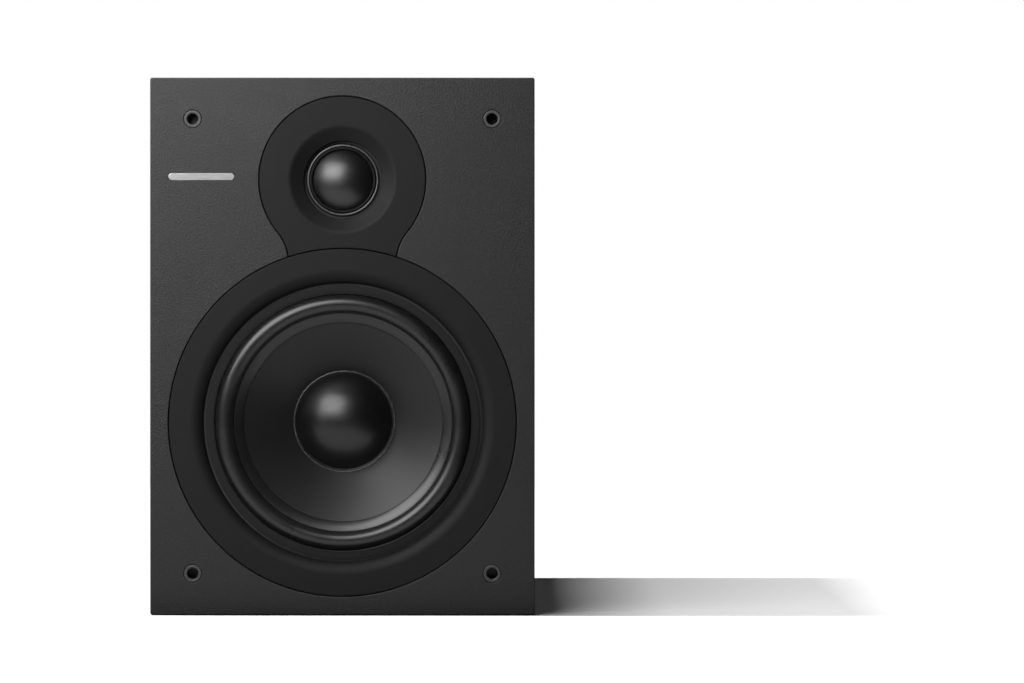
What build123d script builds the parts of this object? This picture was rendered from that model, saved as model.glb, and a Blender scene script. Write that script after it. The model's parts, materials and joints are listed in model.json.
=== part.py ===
from build123d import *
from math import cos, radians, sin, sqrt
import os

# Two-way bookshelf speaker with a rear port, in millimetres.
# The origin is the centre of the base. The front faces -Y, +Z is up, and +X is to the right seen from the
# front. A driver's profiles are drawn as (radius, depth), with depth measured back from the front face.

# Cabinet
WIDTH, DEPTH, HEIGHT = 161.0, 240.0, 225.0
BAFFLE_THICKNESS = 18.0
WALL = 12.0
EDGE_CHAMFER = 0.5
FRONT = -DEPTH / 2
REAR = DEPTH / 2
BAFFLE_REAR = FRONT + BAFFLE_THICKNESS
REAR_PANEL_FRONT = REAR - WALL
INNER_X = WIDTH / 2 - WALL
INNER_TOP = HEIGHT - WALL

# Brace and damping foam
BRACE_FRONT, BRACE_THICKNESS, BRACE_BAR, BRACE_CORNER = -48.0, 10.0, 20.0, 10.0
FOAM, FOAM_HEIGHT, FOAM_ROUND = 8.0, 120.0, 2.0
FOAM_GAP = 6.0

# Grille sockets and badge
SOCKET_INSET = 17.3
SOCKET_SPACING_X = 125.4
SOCKET_SPACING_Z = HEIGHT - 2 * SOCKET_INSET
SOCKET_LIP_R, SOCKET_BODY_R, SOCKET_BORE_R = 3.8, 3.2, 2.3
SOCKET_DEPTH, SOCKET_LIP, SOCKET_FLOOR = 11.0, 0.5, 1.5
BADGE_X, BADGE_Z = -59.0, 183.5
BADGE_LENGTH, BADGE_WIDTH, BADGE_THICKNESS = 28.0, 3.2, 0.6

# Trims and the recess that they lie in
TRIM_THICKNESS = 4.2
TRIM_GAP = 0.25

# Woofer
WOOFER_Z = 80.6
WOOFER_TRIM_R, WOOFER_TRIM_FLAT_R, WOOFER_TRIM_INNER_R = 72.7, 64.0, 58.4
WOOFER_FLANGE_R, WOOFER_FLANGE_INNER_R, FLANGE_THICKNESS = 66.8, 53.8, 2.8
WOOFER_GASKET = 1.5
WOOFER_CUTOUT_R = 59.5
WOOFER_SCREW_R, WOOFER_SCREW_RING_R = 1.9, 62.8
WOOFER_HEAD_R, WOOFER_HEAD = 3.5, 1.8
WOOFER_CROSS, WOOFER_CROSS_WIDTH, WOOFER_CROSS_DEPTH = 3.4, 0.7, 1.2
SCREW_TIP = BAFFLE_THICKNESS - 1.0
CONE_OUTER_R, CONE_OUTER_DEPTH = 45.6, 4.4
CONE_NECK_R, CONE_NECK_DEPTH = 12.9, 27.0
CONE_SWELL = 1.0
CONE_THICKNESS = 0.75
GLUE_LINE = 0.02
ROLL_R, ROLL_CENTRE_R, ROLL_DEPTH = 3.85, 49.63, 4.1
RUBBER = 0.7
CAP_R, CAP_LIP_R, CAP_HEIGHT = 20.1, 21.5, 11.3
PAPER = 0.6
FORMER_WALL = 0.3
FORMER_FRONT, FORMER_LENGTH = 25.0, 21.0
WOOFER_COIL_R, WOOFER_COIL_FRONT, WOOFER_COIL_LENGTH = 13.6, 36.0, 10.0
PLATE_STEP, PLATE_GAP, MAGNET_GAP = 2.0, 0.4, 2.4
WOOFER_PLATE_DEPTH, WOOFER_PLATE = 39.0, 5.0
WOOFER_MAGNET_R, WOOFER_MAGNET = 42.0, 15.0
SPIDER_DEPTH, SPIDER_R, SPIDER_FREE_R, SPIDER_THICKNESS = 30.6, 35.0, 31.0, 0.5
BASKET_WINDOWS, WINDOW_RING_R, WINDOW_FRONT = 6, 49.0, 10.0
WINDOW_WIDTH, WINDOW_LENGTH, WINDOW_CORNER = 24.0, 34.0, 4.0

# Tweeter
TWEETER_Z = 182.3
TWEETER_TRIM_R = 34.8
NECK_FILLET_R = 19.6
NECK_HALF_ANGLE = 50.6
RECESS_R, RECESS_BORE_R, RECESS_DEPTH = 22.1, 16.3, 3.0
TWEETER_FLANGE_R = 32.0
TWEETER_GASKET = 0.8
TWEETER_CUTOUT_R = 27.0
TWEETER_SCREW_R, TWEETER_SCREW_RING_R = 1.4, 29.5
TWEETER_HEAD_R, TWEETER_HEAD = 2.4, 1.2
TWEETER_CROSS, TWEETER_CROSS_WIDTH, TWEETER_CROSS_DEPTH = 2.4, 0.5, 0.9
DOME_R, DOME_HEIGHT, DOME_DEPTH, DOME_THICKNESS = 12.5, 5.3, 5.4, 0.3
CLAMP_RING_INNER_R, CLAMP_RING_R, CLAMP_RING = 14.2, 14.9, 0.6
SILK = 0.15
TWEETER_FORMER_R, TWEETER_FORMER_WALL, TWEETER_FORMER_LENGTH = 12.45, 0.15, 6.2
TWEETER_COIL_R, TWEETER_COIL_DEPTH, TWEETER_COIL_LENGTH = 12.85, 9.4, 2.2
TWEETER_PLATE_DEPTH, TWEETER_PLATE, TWEETER_PLATE_BORE_R = 9.0, 3.0, 13.2
TWEETER_MAGNET_R, TWEETER_MAGNET_BORE_R, TWEETER_MAGNET = 25.0, 15.0, 8.0
TWEETER_POLE_R, TWEETER_VENT_R = 12.0, 2.5
REAR_CUP_R, REAR_CUP_LENGTH, REAR_CUP_WALL, REAR_CUP_ROUND = 17.0, 10.0, 1.5, 2.0

# Port
PORT_Z = 165.0
PORT_BORE_R, PORT_WALL, PORT_FLANGE_R, PORT_FLANGE = 17.5, 2.5, 31.0, 3.0
PORT_FLARE_R = 8.0
PORT_LENGTH = 110.0

# Terminal cup and binding posts
CUP_Z = 52.0
CUP_FLANGE_X, CUP_FLANGE_Z, CUP_FLANGE = 78.0, 60.0, 2.5
CUP_BODY_X, CUP_BODY_Z, CUP_WALL = 62.0, 44.0, 2.0
CUP_FLOOR = 98.0
CUP_FIT, CUP_FLANGE_CORNER, CUP_BODY_CORNER = 0.4, 4.0, 5.0
CUP_GASKET = 1.0
CUP_SCREW_R, CUP_SCREW_INSET = 1.5, 4.0
CUP_HEAD_R, CUP_HEAD = 2.9, 1.4
CUP_CROSS, CUP_CROSS_WIDTH, CUP_CROSS_DEPTH = 3.2, 0.6, 1.1
POST_X = 9.5
STUD_R, STUD_BORE_R, STUD_BORE_DEPTH = 3.0, 2.0, 14.0
STUD_TIP, STUD_INNER_END = 118.6, 78.0
COLLAR_R, COLLAR_HEIGHT = 7.0, 3.0
WASHER_R, WASHER_THICKNESS = 5.5, 0.8
KNOB_R, KNOB_LENGTH, KNOB_FLUTES, FLUTE_R = 6.5, 16.8, 12, 0.9
KNOB_BASE, KNOB_CHAMFER, COLLAR_CHAMFER = 3.0, 0.8, 0.6
RUNNING_CLEARANCE = 0.08
NUT_HALF_WIDTH, NUT_HEIGHT = 5.0, 4.0
POST_TAG_R, POST_TAG_REACH, POST_TAG_WIDTH, TAG_THICKNESS = 5.0, 12.0, 4.8, 0.8

# Crossover
BOARD_X, BOARD_REAR, BOARD_FRONT, BOARD_THICKNESS = 90.0, 60.0, -30.0, 1.6
STANDOFF_HEIGHT, STANDOFF_R, BOARD_SCREW_R = 6.0, 3.5, 1.5
BOARD_TOP = WALL + STANDOFF_HEIGHT + BOARD_THICKNESS
BOARD_CORNER, BOARD_HOLE_INSET = 3.0, 5.0
BOARD_HEAD_R, BOARD_HEAD, BOARD_HEAD_ROUND = 2.8, 1.8, 0.8
WOOFER_INDUCTOR_R, WOOFER_INDUCTOR_BORE_R, WOOFER_INDUCTOR_LENGTH = 15.0, 6.0, 16.0
TWEETER_INDUCTOR_R, TWEETER_INDUCTOR_BORE_R, TWEETER_INDUCTOR_LENGTH = 12.0, 5.0, 12.0
WOOFER_INDUCTOR_PLACE, TWEETER_INDUCTOR_PLACE = (-22.0, 32.0), (20.0, 44.0)
BIG_CAPACITOR_R, BIG_CAPACITOR_LENGTH, BIG_CAPACITOR_PLACE = 7.0, 28.0, (8.0, 20.0)
SMALL_CAPACITOR_R, SMALL_CAPACITOR_LENGTH, SMALL_CAPACITOR_PLACE = 6.0, 24.0, (8.0, 2.0)
RESISTOR_LENGTH, RESISTOR_WIDTH, RESISTOR_PLACE = 25.0, 9.0, (-20.0, 2.0)
WIRE_R = 1.0

os.makedirs("parts", exist_ok=True)

# Each driver's section plane holds (radius, depth). Its face plane looks into the cabinet.
woofer_section = Plane((0, FRONT, WOOFER_Z))
woofer_axis = Axis((0, FRONT, WOOFER_Z), (0, 1, 0))
tweeter_section = Plane((0, FRONT, TWEETER_Z))
tweeter_axis = Axis((0, FRONT, TWEETER_Z), (0, 1, 0))
cup_screws_x = CUP_FLANGE_X - 2 * CUP_SCREW_INSET
cup_screws_z = CUP_FLANGE_Z - 2 * CUP_SCREW_INSET


def face_plane(z, depth):
    """Plane across a driver's axis at a depth, looking back into the cabinet."""
    return Plane((0, FRONT + depth, z), x_dir=(1, 0, 0), z_dir=(0, 1, 0))


def rear_plane(x, y, z):
    """Plane across the cabinet at y, looking out of the back."""
    return Plane((x, y, z), x_dir=(-1, 0, 0), z_dir=(0, 1, 0))


chord = sqrt((CONE_OUTER_R - CONE_NECK_R) ** 2 + (CONE_NECK_DEPTH - CONE_OUTER_DEPTH) ** 2)
cone_lean = ((CONE_OUTER_R - CONE_NECK_R) / chord, (CONE_NECK_DEPTH - CONE_OUTER_DEPTH) / chord)
cone_arc_r = (chord**2 / 4 + CONE_SWELL**2) / (2 * CONE_SWELL)
cone_middle = ((CONE_OUTER_R + CONE_NECK_R) / 2, (CONE_OUTER_DEPTH + CONE_NECK_DEPTH) / 2)
cone_arc_x = cone_middle[0] + cone_lean[1] * (cone_arc_r - CONE_SWELL)
cone_arc_depth = cone_middle[1] + cone_lean[0] * (cone_arc_r - CONE_SWELL)


def cone_depth(r):
    """Depth of the cone's front surface at a radius."""
    return cone_arc_depth - sqrt(cone_arc_r**2 - (r - cone_arc_x) ** 2)


def on_cone(r, lift=0.0):
    """Point at a radius, lifted forwards off the cone's front surface."""
    return (r, cone_depth(r) - lift)


# ---- Trim outlines, shared by the baffle's recess and the tweeter's trim plate ----

neck_reach = TWEETER_TRIM_R + NECK_FILLET_R
neck_x = neck_reach * cos(radians(90 - NECK_HALF_ANGLE))
neck_drop = neck_reach * sin(radians(90 - NECK_HALF_ANGLE))
neck_half_width = TWEETER_TRIM_R * cos(radians(90 - NECK_HALF_ANGLE))
to_woofer = TWEETER_Z - WOOFER_Z

with BuildSketch(face_plane(TWEETER_Z, 0)) as tweeter_outline:
    Circle(TWEETER_TRIM_R)
    with Locations((0, to_woofer / 4)):
        Rectangle(2 * neck_half_width, to_woofer / 2)
    with Locations((-neck_x, neck_drop), (neck_x, neck_drop)):
        Circle(NECK_FILLET_R, mode=Mode.SUBTRACT)
    with Locations((0, to_woofer)):
        Circle(WOOFER_TRIM_R + TRIM_GAP, mode=Mode.SUBTRACT)

with BuildSketch(face_plane(TWEETER_Z, 0)) as trim_recess:
    Circle(TWEETER_TRIM_R + TRIM_GAP)
    with Locations((0, to_woofer / 4)):
        Rectangle(2 * (neck_half_width + TRIM_GAP), to_woofer / 2)
    with Locations((-neck_x, neck_drop), (neck_x, neck_drop)):
        Circle(NECK_FILLET_R - TRIM_GAP, mode=Mode.SUBTRACT)
    with Locations((0, to_woofer)):
        Circle(WOOFER_TRIM_R + TRIM_GAP)

# ---- Cabinet ----

with BuildPart() as front_baffle:
    with BuildSketch(Plane((0, FRONT, HEIGHT / 2), x_dir=(1, 0, 0), z_dir=(0, 1, 0))):
        Rectangle(WIDTH, HEIGHT)
    extrude(amount=BAFFLE_THICKNESS)
    chamfer(front_baffle.faces().sort_by(Axis.Y)[0].edges(), EDGE_CHAMFER)
    extrude(trim_recess.sketch, amount=TRIM_THICKNESS, dir=(0, 1, 0), mode=Mode.SUBTRACT)
    with BuildSketch(face_plane(WOOFER_Z, 0)):
        Circle(WOOFER_FLANGE_R + 0.7)
    extrude(amount=TRIM_THICKNESS + FLANGE_THICKNESS + WOOFER_GASKET, mode=Mode.SUBTRACT)
    with BuildSketch(face_plane(TWEETER_Z, 0)):
        Circle(TWEETER_FLANGE_R + 0.2)
    extrude(amount=TRIM_THICKNESS + FLANGE_THICKNESS + TWEETER_GASKET, mode=Mode.SUBTRACT)
    with BuildSketch(face_plane(WOOFER_Z, 0)):
        Circle(WOOFER_CUTOUT_R)
        with Locations((0, -to_woofer)):
            Circle(TWEETER_CUTOUT_R)
    extrude(amount=BAFFLE_THICKNESS, mode=Mode.SUBTRACT)
    with BuildSketch(face_plane(WOOFER_Z, 0)):
        with PolarLocations(WOOFER_SCREW_RING_R, 4, start_angle=45):
            Circle(WOOFER_SCREW_R)
        with Locations((0, -to_woofer)):
            with PolarLocations(TWEETER_SCREW_RING_R, 4, start_angle=45):
                Circle(TWEETER_SCREW_R)
    extrude(amount=SCREW_TIP, mode=Mode.SUBTRACT)
    with BuildSketch(Plane((0, FRONT, HEIGHT / 2), x_dir=(1, 0, 0), z_dir=(0, 1, 0))):
        with GridLocations(SOCKET_SPACING_X, SOCKET_SPACING_Z, 2, 2):
            Circle(SOCKET_BODY_R)
    extrude(amount=SOCKET_DEPTH, mode=Mode.SUBTRACT)
    with BuildSketch(Plane((0, FRONT, HEIGHT / 2), x_dir=(1, 0, 0), z_dir=(0, 1, 0))):
        with GridLocations(SOCKET_SPACING_X, SOCKET_SPACING_Z, 2, 2):
            Circle(SOCKET_LIP_R)
    extrude(amount=SOCKET_LIP, mode=Mode.SUBTRACT)
    with BuildSketch(face_plane(BADGE_Z, 0)):
        with Locations((BADGE_X, 0)):
            SlotOverall(BADGE_LENGTH, BADGE_WIDTH)
    extrude(amount=BADGE_THICKNESS, mode=Mode.SUBTRACT)
front_baffle.part.label = "front_baffle"
export_step(front_baffle.part, "parts/front_baffle.step")

# Four walls with mitred corners: each is one side of the frame between the outer and the inner rectangle.
outer_corners = [(-WIDTH / 2, 0), (WIDTH / 2, 0), (WIDTH / 2, HEIGHT), (-WIDTH / 2, HEIGHT)]
inner_corners = [(-INNER_X, WALL), (INNER_X, WALL), (INNER_X, INNER_TOP), (-INNER_X, INNER_TOP)]
for side, wall_name in enumerate(["bottom_panel", "right_panel", "top_panel", "left_panel"]):
    following = (side + 1) % 4
    with BuildPart() as wall:
        with BuildSketch(Plane((0, BAFFLE_REAR, 0), x_dir=(1, 0, 0), z_dir=(0, -1, 0))):
            with BuildLine():
                Polyline(
                    outer_corners[side],
                    outer_corners[following],
                    inner_corners[following],
                    inner_corners[side],
                    close=True,
                )
            make_face()
        extrude(amount=-(REAR - BAFFLE_REAR))
    wall.part.label = wall_name
    export_step(wall.part, f"parts/{wall_name}.step")

with BuildPart() as rear_panel:
    with BuildSketch(rear_plane(0, REAR_PANEL_FRONT, HEIGHT / 2)):
        Rectangle(2 * INNER_X, INNER_TOP - WALL)
    extrude(amount=WALL)
    with BuildSketch(rear_plane(0, REAR_PANEL_FRONT, PORT_Z)):
        Circle(PORT_BORE_R + PORT_WALL)
    extrude(amount=WALL, mode=Mode.SUBTRACT)
    with BuildSketch(rear_plane(0, REAR, PORT_Z)):
        Circle(PORT_FLANGE_R)
    extrude(amount=-PORT_FLANGE, mode=Mode.SUBTRACT)
    with BuildSketch(rear_plane(0, REAR_PANEL_FRONT, PORT_Z)):
        Circle(PORT_BORE_R + PORT_WALL + PORT_FLARE_R)
    extrude(amount=WALL - PORT_FLANGE, mode=Mode.SUBTRACT)
    with BuildSketch(rear_plane(0, REAR_PANEL_FRONT, CUP_Z)):
        Rectangle(CUP_BODY_X, CUP_BODY_Z)
    extrude(amount=WALL, mode=Mode.SUBTRACT)
    with BuildSketch(rear_plane(0, REAR, CUP_Z)):
        RectangleRounded(CUP_FLANGE_X, CUP_FLANGE_Z, CUP_FLANGE_CORNER)
    extrude(amount=-(CUP_FLANGE + CUP_GASKET), mode=Mode.SUBTRACT)
    with BuildSketch(rear_plane(0, REAR, CUP_Z)):
        with GridLocations(cup_screws_x, cup_screws_z, 2, 2):
            Circle(CUP_SCREW_R)
    extrude(amount=-(WALL - 1), mode=Mode.SUBTRACT)
rear_panel.part.label = "rear_panel"
export_step(rear_panel.part, "parts/rear_panel.step")

with BuildPart() as window_brace:
    with BuildSketch(rear_plane(0, BRACE_FRONT, HEIGHT / 2)):
        Rectangle(2 * INNER_X, INNER_TOP - WALL)
        window_x, window_z = 2 * (INNER_X - BRACE_BAR), INNER_TOP - WALL - 2 * BRACE_BAR
        RectangleRounded(window_x, window_z, BRACE_CORNER, mode=Mode.SUBTRACT)
    extrude(amount=BRACE_THICKNESS)
window_brace.part.label = "window_brace"
export_step(window_brace.part, "parts/window_brace.step")

foam_start = BRACE_FRONT + BRACE_THICKNESS + FOAM_GAP
foam_length = REAR_PANEL_FRONT - FOAM - foam_start
foam_z = INNER_TOP - FOAM - 20 - FOAM_HEIGHT / 2
with BuildPart() as wall_foam:
    with Locations(
        (-(INNER_X - FOAM / 2), foam_start + foam_length / 2, foam_z),
        (INNER_X - FOAM / 2, foam_start + foam_length / 2, foam_z),
    ):
        Box(FOAM, foam_length, FOAM_HEIGHT)
    with Locations((0, foam_start + foam_length / 2, INNER_TOP - FOAM / 2)):
        Box(2 * (INNER_X - FOAM) - FOAM_GAP, foam_length, FOAM)
    fillet(wall_foam.edges().filter_by(Axis.Y), FOAM_ROUND)
wall_foam.part.label = "wall_foam"
export_step(wall_foam.part, "parts/wall_foam.step")

with BuildPart() as grille_sockets:
    with BuildSketch(Plane((0, FRONT, HEIGHT / 2), x_dir=(1, 0, 0), z_dir=(0, 1, 0))):
        with GridLocations(SOCKET_SPACING_X, SOCKET_SPACING_Z, 2, 2):
            Circle(SOCKET_BODY_R)
    extrude(amount=SOCKET_DEPTH)
    with BuildSketch(Plane((0, FRONT, HEIGHT / 2), x_dir=(1, 0, 0), z_dir=(0, 1, 0))):
        with GridLocations(SOCKET_SPACING_X, SOCKET_SPACING_Z, 2, 2):
            Circle(SOCKET_LIP_R)
    extrude(amount=SOCKET_LIP)
    with BuildSketch(Plane((0, FRONT, HEIGHT / 2), x_dir=(1, 0, 0), z_dir=(0, 1, 0))):
        with GridLocations(SOCKET_SPACING_X, SOCKET_SPACING_Z, 2, 2):
            Circle(SOCKET_BORE_R)
    extrude(amount=SOCKET_DEPTH - SOCKET_FLOOR, mode=Mode.SUBTRACT)
grille_sockets.part.label = "grille_sockets"
export_step(grille_sockets.part, "parts/grille_sockets.step")

with BuildPart() as blank_badge:
    with BuildSketch(face_plane(BADGE_Z, 0)):
        with Locations((BADGE_X, 0)):
            SlotOverall(BADGE_LENGTH, BADGE_WIDTH)
    extrude(amount=BADGE_THICKNESS)
blank_badge.part.label = "blank_badge"
export_step(blank_badge.part, "parts/blank_badge.step")

# ---- Woofer, fixed pieces ----

with BuildPart() as woofer_trim_ring:
    with BuildSketch(woofer_section):
        with BuildLine():
            EllipticalCenterArc(
                (WOOFER_TRIM_FLAT_R, TRIM_THICKNESS),
                WOOFER_TRIM_FLAT_R - WOOFER_TRIM_INNER_R,
                TRIM_THICKNESS,
                start_angle=180,
                arc_size=90,
            )
            Polyline(
                (WOOFER_TRIM_FLAT_R, 0),
                (WOOFER_TRIM_R, 0),
                (WOOFER_TRIM_R, TRIM_THICKNESS),
                (WOOFER_TRIM_INNER_R, TRIM_THICKNESS),
            )
        make_face()
    revolve(axis=woofer_axis)
woofer_trim_ring.part.label = "woofer_trim_ring"
export_step(woofer_trim_ring.part, "parts/woofer_trim_ring.step")

flange_rear = TRIM_THICKNESS + FLANGE_THICKNESS
basket_seat_r = WOOFER_MAGNET_R + 1
with BuildPart() as woofer_basket:
    with BuildSketch(woofer_section):
        with BuildLine():
            Polyline(
                (WOOFER_FLANGE_INNER_R, TRIM_THICKNESS),
                (WOOFER_FLANGE_R, TRIM_THICKNESS),
                (WOOFER_FLANGE_R, flange_rear),
                (WOOFER_CUTOUT_R - 0.5, flange_rear),
                (basket_seat_r, SPIDER_DEPTH + 1.4),
                (basket_seat_r, WOOFER_PLATE_DEPTH),
                (20, WOOFER_PLATE_DEPTH),
                (20, WOOFER_PLATE_DEPTH - 2.5),
                (SPIDER_FREE_R, WOOFER_PLATE_DEPTH - 2.5),
                (SPIDER_FREE_R, SPIDER_DEPTH),
                (basket_seat_r - 1.3, SPIDER_DEPTH),
                (WOOFER_CUTOUT_R - 2.6, flange_rear),
                (WOOFER_FLANGE_INNER_R, flange_rear),
                close=True,
            )
        make_face()
    revolve(axis=woofer_axis)
    with BuildSketch(face_plane(WOOFER_Z, WINDOW_FRONT)):
        with PolarLocations(WINDOW_RING_R, BASKET_WINDOWS, start_angle=30):
            RectangleRounded(WINDOW_WIDTH, WINDOW_LENGTH, WINDOW_CORNER)
    extrude(amount=SPIDER_DEPTH - 1.6 - WINDOW_FRONT, mode=Mode.SUBTRACT)
    with BuildSketch(face_plane(WOOFER_Z, SPIDER_DEPTH + 1.4)):
        with Locations((0, basket_seat_r - 0.9)):
            Rectangle(16, 3)
    extrude(amount=WOOFER_PLATE_DEPTH - SPIDER_DEPTH - 1.4)
    with BuildSketch(face_plane(WOOFER_Z, TRIM_THICKNESS + WOOFER_HEAD)):
        with PolarLocations(WOOFER_SCREW_RING_R, 4, start_angle=45):
            Circle(WOOFER_SCREW_R)
    extrude(amount=FLANGE_THICKNESS - WOOFER_HEAD, mode=Mode.SUBTRACT)
    with Locations(face_plane(WOOFER_Z, TRIM_THICKNESS + WOOFER_HEAD / 2)):
        with PolarLocations(WOOFER_SCREW_RING_R, 4, start_angle=45):
            Cone(WOOFER_HEAD_R, WOOFER_SCREW_R, WOOFER_HEAD, mode=Mode.SUBTRACT)
woofer_basket.part.label = "woofer_basket"
export_step(woofer_basket.part, "parts/woofer_basket.step")

with BuildPart() as woofer_gasket:
    with BuildSketch(face_plane(WOOFER_Z, flange_rear)):
        Circle(WOOFER_FLANGE_R)
        Circle(WOOFER_CUTOUT_R + 0.1, mode=Mode.SUBTRACT)
        with PolarLocations(WOOFER_SCREW_RING_R, 4, start_angle=45):
            Circle(WOOFER_SCREW_R, mode=Mode.SUBTRACT)
    extrude(amount=WOOFER_GASKET)
woofer_gasket.part.label = "woofer_gasket"
export_step(woofer_gasket.part, "parts/woofer_gasket.step")

with BuildPart() as woofer_screws:
    with Locations(face_plane(WOOFER_Z, TRIM_THICKNESS + WOOFER_HEAD / 2)):
        with PolarLocations(WOOFER_SCREW_RING_R, 4, start_angle=45):
            Cone(WOOFER_HEAD_R, WOOFER_SCREW_R, WOOFER_HEAD)
    with BuildSketch(face_plane(WOOFER_Z, TRIM_THICKNESS + WOOFER_HEAD)):
        with PolarLocations(WOOFER_SCREW_RING_R, 4, start_angle=45):
            Circle(WOOFER_SCREW_R)
    extrude(amount=SCREW_TIP - TRIM_THICKNESS - WOOFER_HEAD)
    with BuildSketch(face_plane(WOOFER_Z, TRIM_THICKNESS)):
        with PolarLocations(WOOFER_SCREW_RING_R, 4, start_angle=45):
            Rectangle(WOOFER_CROSS, WOOFER_CROSS_WIDTH)
            Rectangle(WOOFER_CROSS_WIDTH, WOOFER_CROSS)
    extrude(amount=WOOFER_CROSS_DEPTH, mode=Mode.SUBTRACT)
woofer_screws.part.label = "woofer_screws"
export_step(woofer_screws.part, "parts/woofer_screws.step")

woofer_magnet_depth = WOOFER_PLATE_DEPTH + WOOFER_PLATE
woofer_back_depth = woofer_magnet_depth + WOOFER_MAGNET
with BuildPart() as woofer_top_plate:
    with BuildSketch(face_plane(WOOFER_Z, WOOFER_PLATE_DEPTH)):
        Circle(WOOFER_MAGNET_R - PLATE_STEP)
        Circle(WOOFER_COIL_R + PLATE_GAP, mode=Mode.SUBTRACT)
    extrude(amount=WOOFER_PLATE)
woofer_top_plate.part.label = "woofer_top_plate"
export_step(woofer_top_plate.part, "parts/woofer_top_plate.step")

with BuildPart() as woofer_magnet:
    with BuildSketch(face_plane(WOOFER_Z, woofer_magnet_depth)):
        Circle(WOOFER_MAGNET_R)
        Circle(WOOFER_COIL_R + MAGNET_GAP, mode=Mode.SUBTRACT)
    extrude(amount=WOOFER_MAGNET)
    chamfer(woofer_magnet.faces().sort_by(Axis.Y)[-1].edges().sort_by(SortBy.RADIUS)[-1], 1)
woofer_magnet.part.label = "woofer_magnet"
export_step(woofer_magnet.part, "parts/woofer_magnet.step")

with BuildPart() as woofer_back_plate:
    with BuildSketch(face_plane(WOOFER_Z, woofer_back_depth)):
        Circle(WOOFER_MAGNET_R - PLATE_STEP)
    extrude(amount=WOOFER_PLATE)
    with BuildSketch(face_plane(WOOFER_Z, WOOFER_PLATE_DEPTH)):
        Circle(CONE_NECK_R - FORMER_WALL - PLATE_GAP)
    extrude(amount=woofer_back_depth - WOOFER_PLATE_DEPTH)
    with BuildSketch(face_plane(WOOFER_Z, WOOFER_PLATE_DEPTH)):
        Circle(4)
    extrude(amount=woofer_back_depth + WOOFER_PLATE - WOOFER_PLATE_DEPTH, mode=Mode.SUBTRACT)
woofer_back_plate.part.label = "woofer_back_plate"
export_step(woofer_back_plate.part, "parts/woofer_back_plate.step")

# ---- Woofer, moving pieces ----

with BuildPart() as woofer_cone:
    with BuildSketch(woofer_section):
        with BuildLine():
            ThreePointArc(on_cone(CONE_OUTER_R), on_cone(cone_middle[0]), on_cone(CONE_NECK_R))
            Line(on_cone(CONE_NECK_R), on_cone(CONE_NECK_R, -CONE_THICKNESS))
            ThreePointArc(
                on_cone(CONE_NECK_R, -CONE_THICKNESS),
                on_cone(cone_middle[0], -CONE_THICKNESS),
                on_cone(CONE_OUTER_R, -CONE_THICKNESS),
            )
            Line(on_cone(CONE_OUTER_R, -CONE_THICKNESS), on_cone(CONE_OUTER_R))
        make_face()
    revolve(axis=woofer_axis)
woofer_cone.part.label = "woofer_cone"
export_step(woofer_cone.part, "parts/woofer_cone.step")

lip_bump_r = (CAP_R + CAP_LIP_R) / 2
cap_base = cone_depth(CAP_R) - GLUE_LINE - PAPER
cap_sphere_r = (CAP_R**2 + CAP_HEIGHT**2) / (2 * CAP_HEIGHT)
cap_centre_depth = cap_base - CAP_HEIGHT + cap_sphere_r


def on_cap(r, thickness=0.0):
    """Point at a radius on the dust cap's sphere, or as far inside it as a thickness."""
    return (r, cap_centre_depth - sqrt((cap_sphere_r - thickness) ** 2 - r**2))


with BuildPart() as woofer_dust_cap:
    with BuildSketch(woofer_section):
        with BuildLine():
            ThreePointArc(on_cap(0), on_cap(CAP_R / 2), on_cap(CAP_R))
            Polyline(
                on_cap(CAP_R),
                on_cone(lip_bump_r, GLUE_LINE + PAPER),
                on_cone(CAP_LIP_R, GLUE_LINE + PAPER / 3),
                on_cone(CAP_LIP_R, GLUE_LINE),
                on_cone(CAP_R - PAPER, GLUE_LINE),
                on_cap(CAP_R - PAPER, PAPER),
            )
            ThreePointArc(on_cap(CAP_R - PAPER, PAPER), on_cap(CAP_R / 2, PAPER), on_cap(0, PAPER))
            Line(on_cap(0, PAPER), on_cap(0))
        make_face()
    revolve(axis=woofer_axis)
woofer_dust_cap.part.label = "woofer_dust_cap"
export_step(woofer_dust_cap.part, "parts/woofer_dust_cap.step")

roll_inner_r, roll_outer_r = ROLL_CENTRE_R - ROLL_R, ROLL_CENTRE_R + ROLL_R
with BuildPart() as woofer_surround:
    with BuildSketch(woofer_section):
        with BuildLine():
            ThreePointArc(
                (roll_inner_r, ROLL_DEPTH), (ROLL_CENTRE_R, ROLL_DEPTH - ROLL_R), (roll_outer_r, ROLL_DEPTH)
            )
            Polyline(
                (roll_outer_r, ROLL_DEPTH),
                (roll_outer_r + 0.5, TRIM_THICKNESS - RUBBER),
                (57.6, TRIM_THICKNESS - RUBBER),
                (57.6, TRIM_THICKNESS - GLUE_LINE),
                (roll_outer_r - RUBBER, TRIM_THICKNESS - GLUE_LINE),
            )
            ThreePointArc(
                (roll_outer_r - RUBBER, TRIM_THICKNESS - GLUE_LINE),
                (ROLL_CENTRE_R, ROLL_DEPTH - ROLL_R + RUBBER),
                (roll_inner_r + RUBBER, TRIM_THICKNESS - GLUE_LINE),
            )
            Polyline(
                (roll_inner_r + RUBBER, TRIM_THICKNESS - GLUE_LINE),
                on_cone(CONE_OUTER_R, GLUE_LINE),
                on_cone(41.7, GLUE_LINE),
                on_cone(41.7, GLUE_LINE + 0.35),
                on_cone(CONE_OUTER_R - 0.6, GLUE_LINE + 0.35),
                (roll_inner_r, ROLL_DEPTH),
            )
        make_face()
    revolve(axis=woofer_axis)
woofer_surround.part.label = "woofer_surround"
export_step(woofer_surround.part, "parts/woofer_surround.step")

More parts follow.
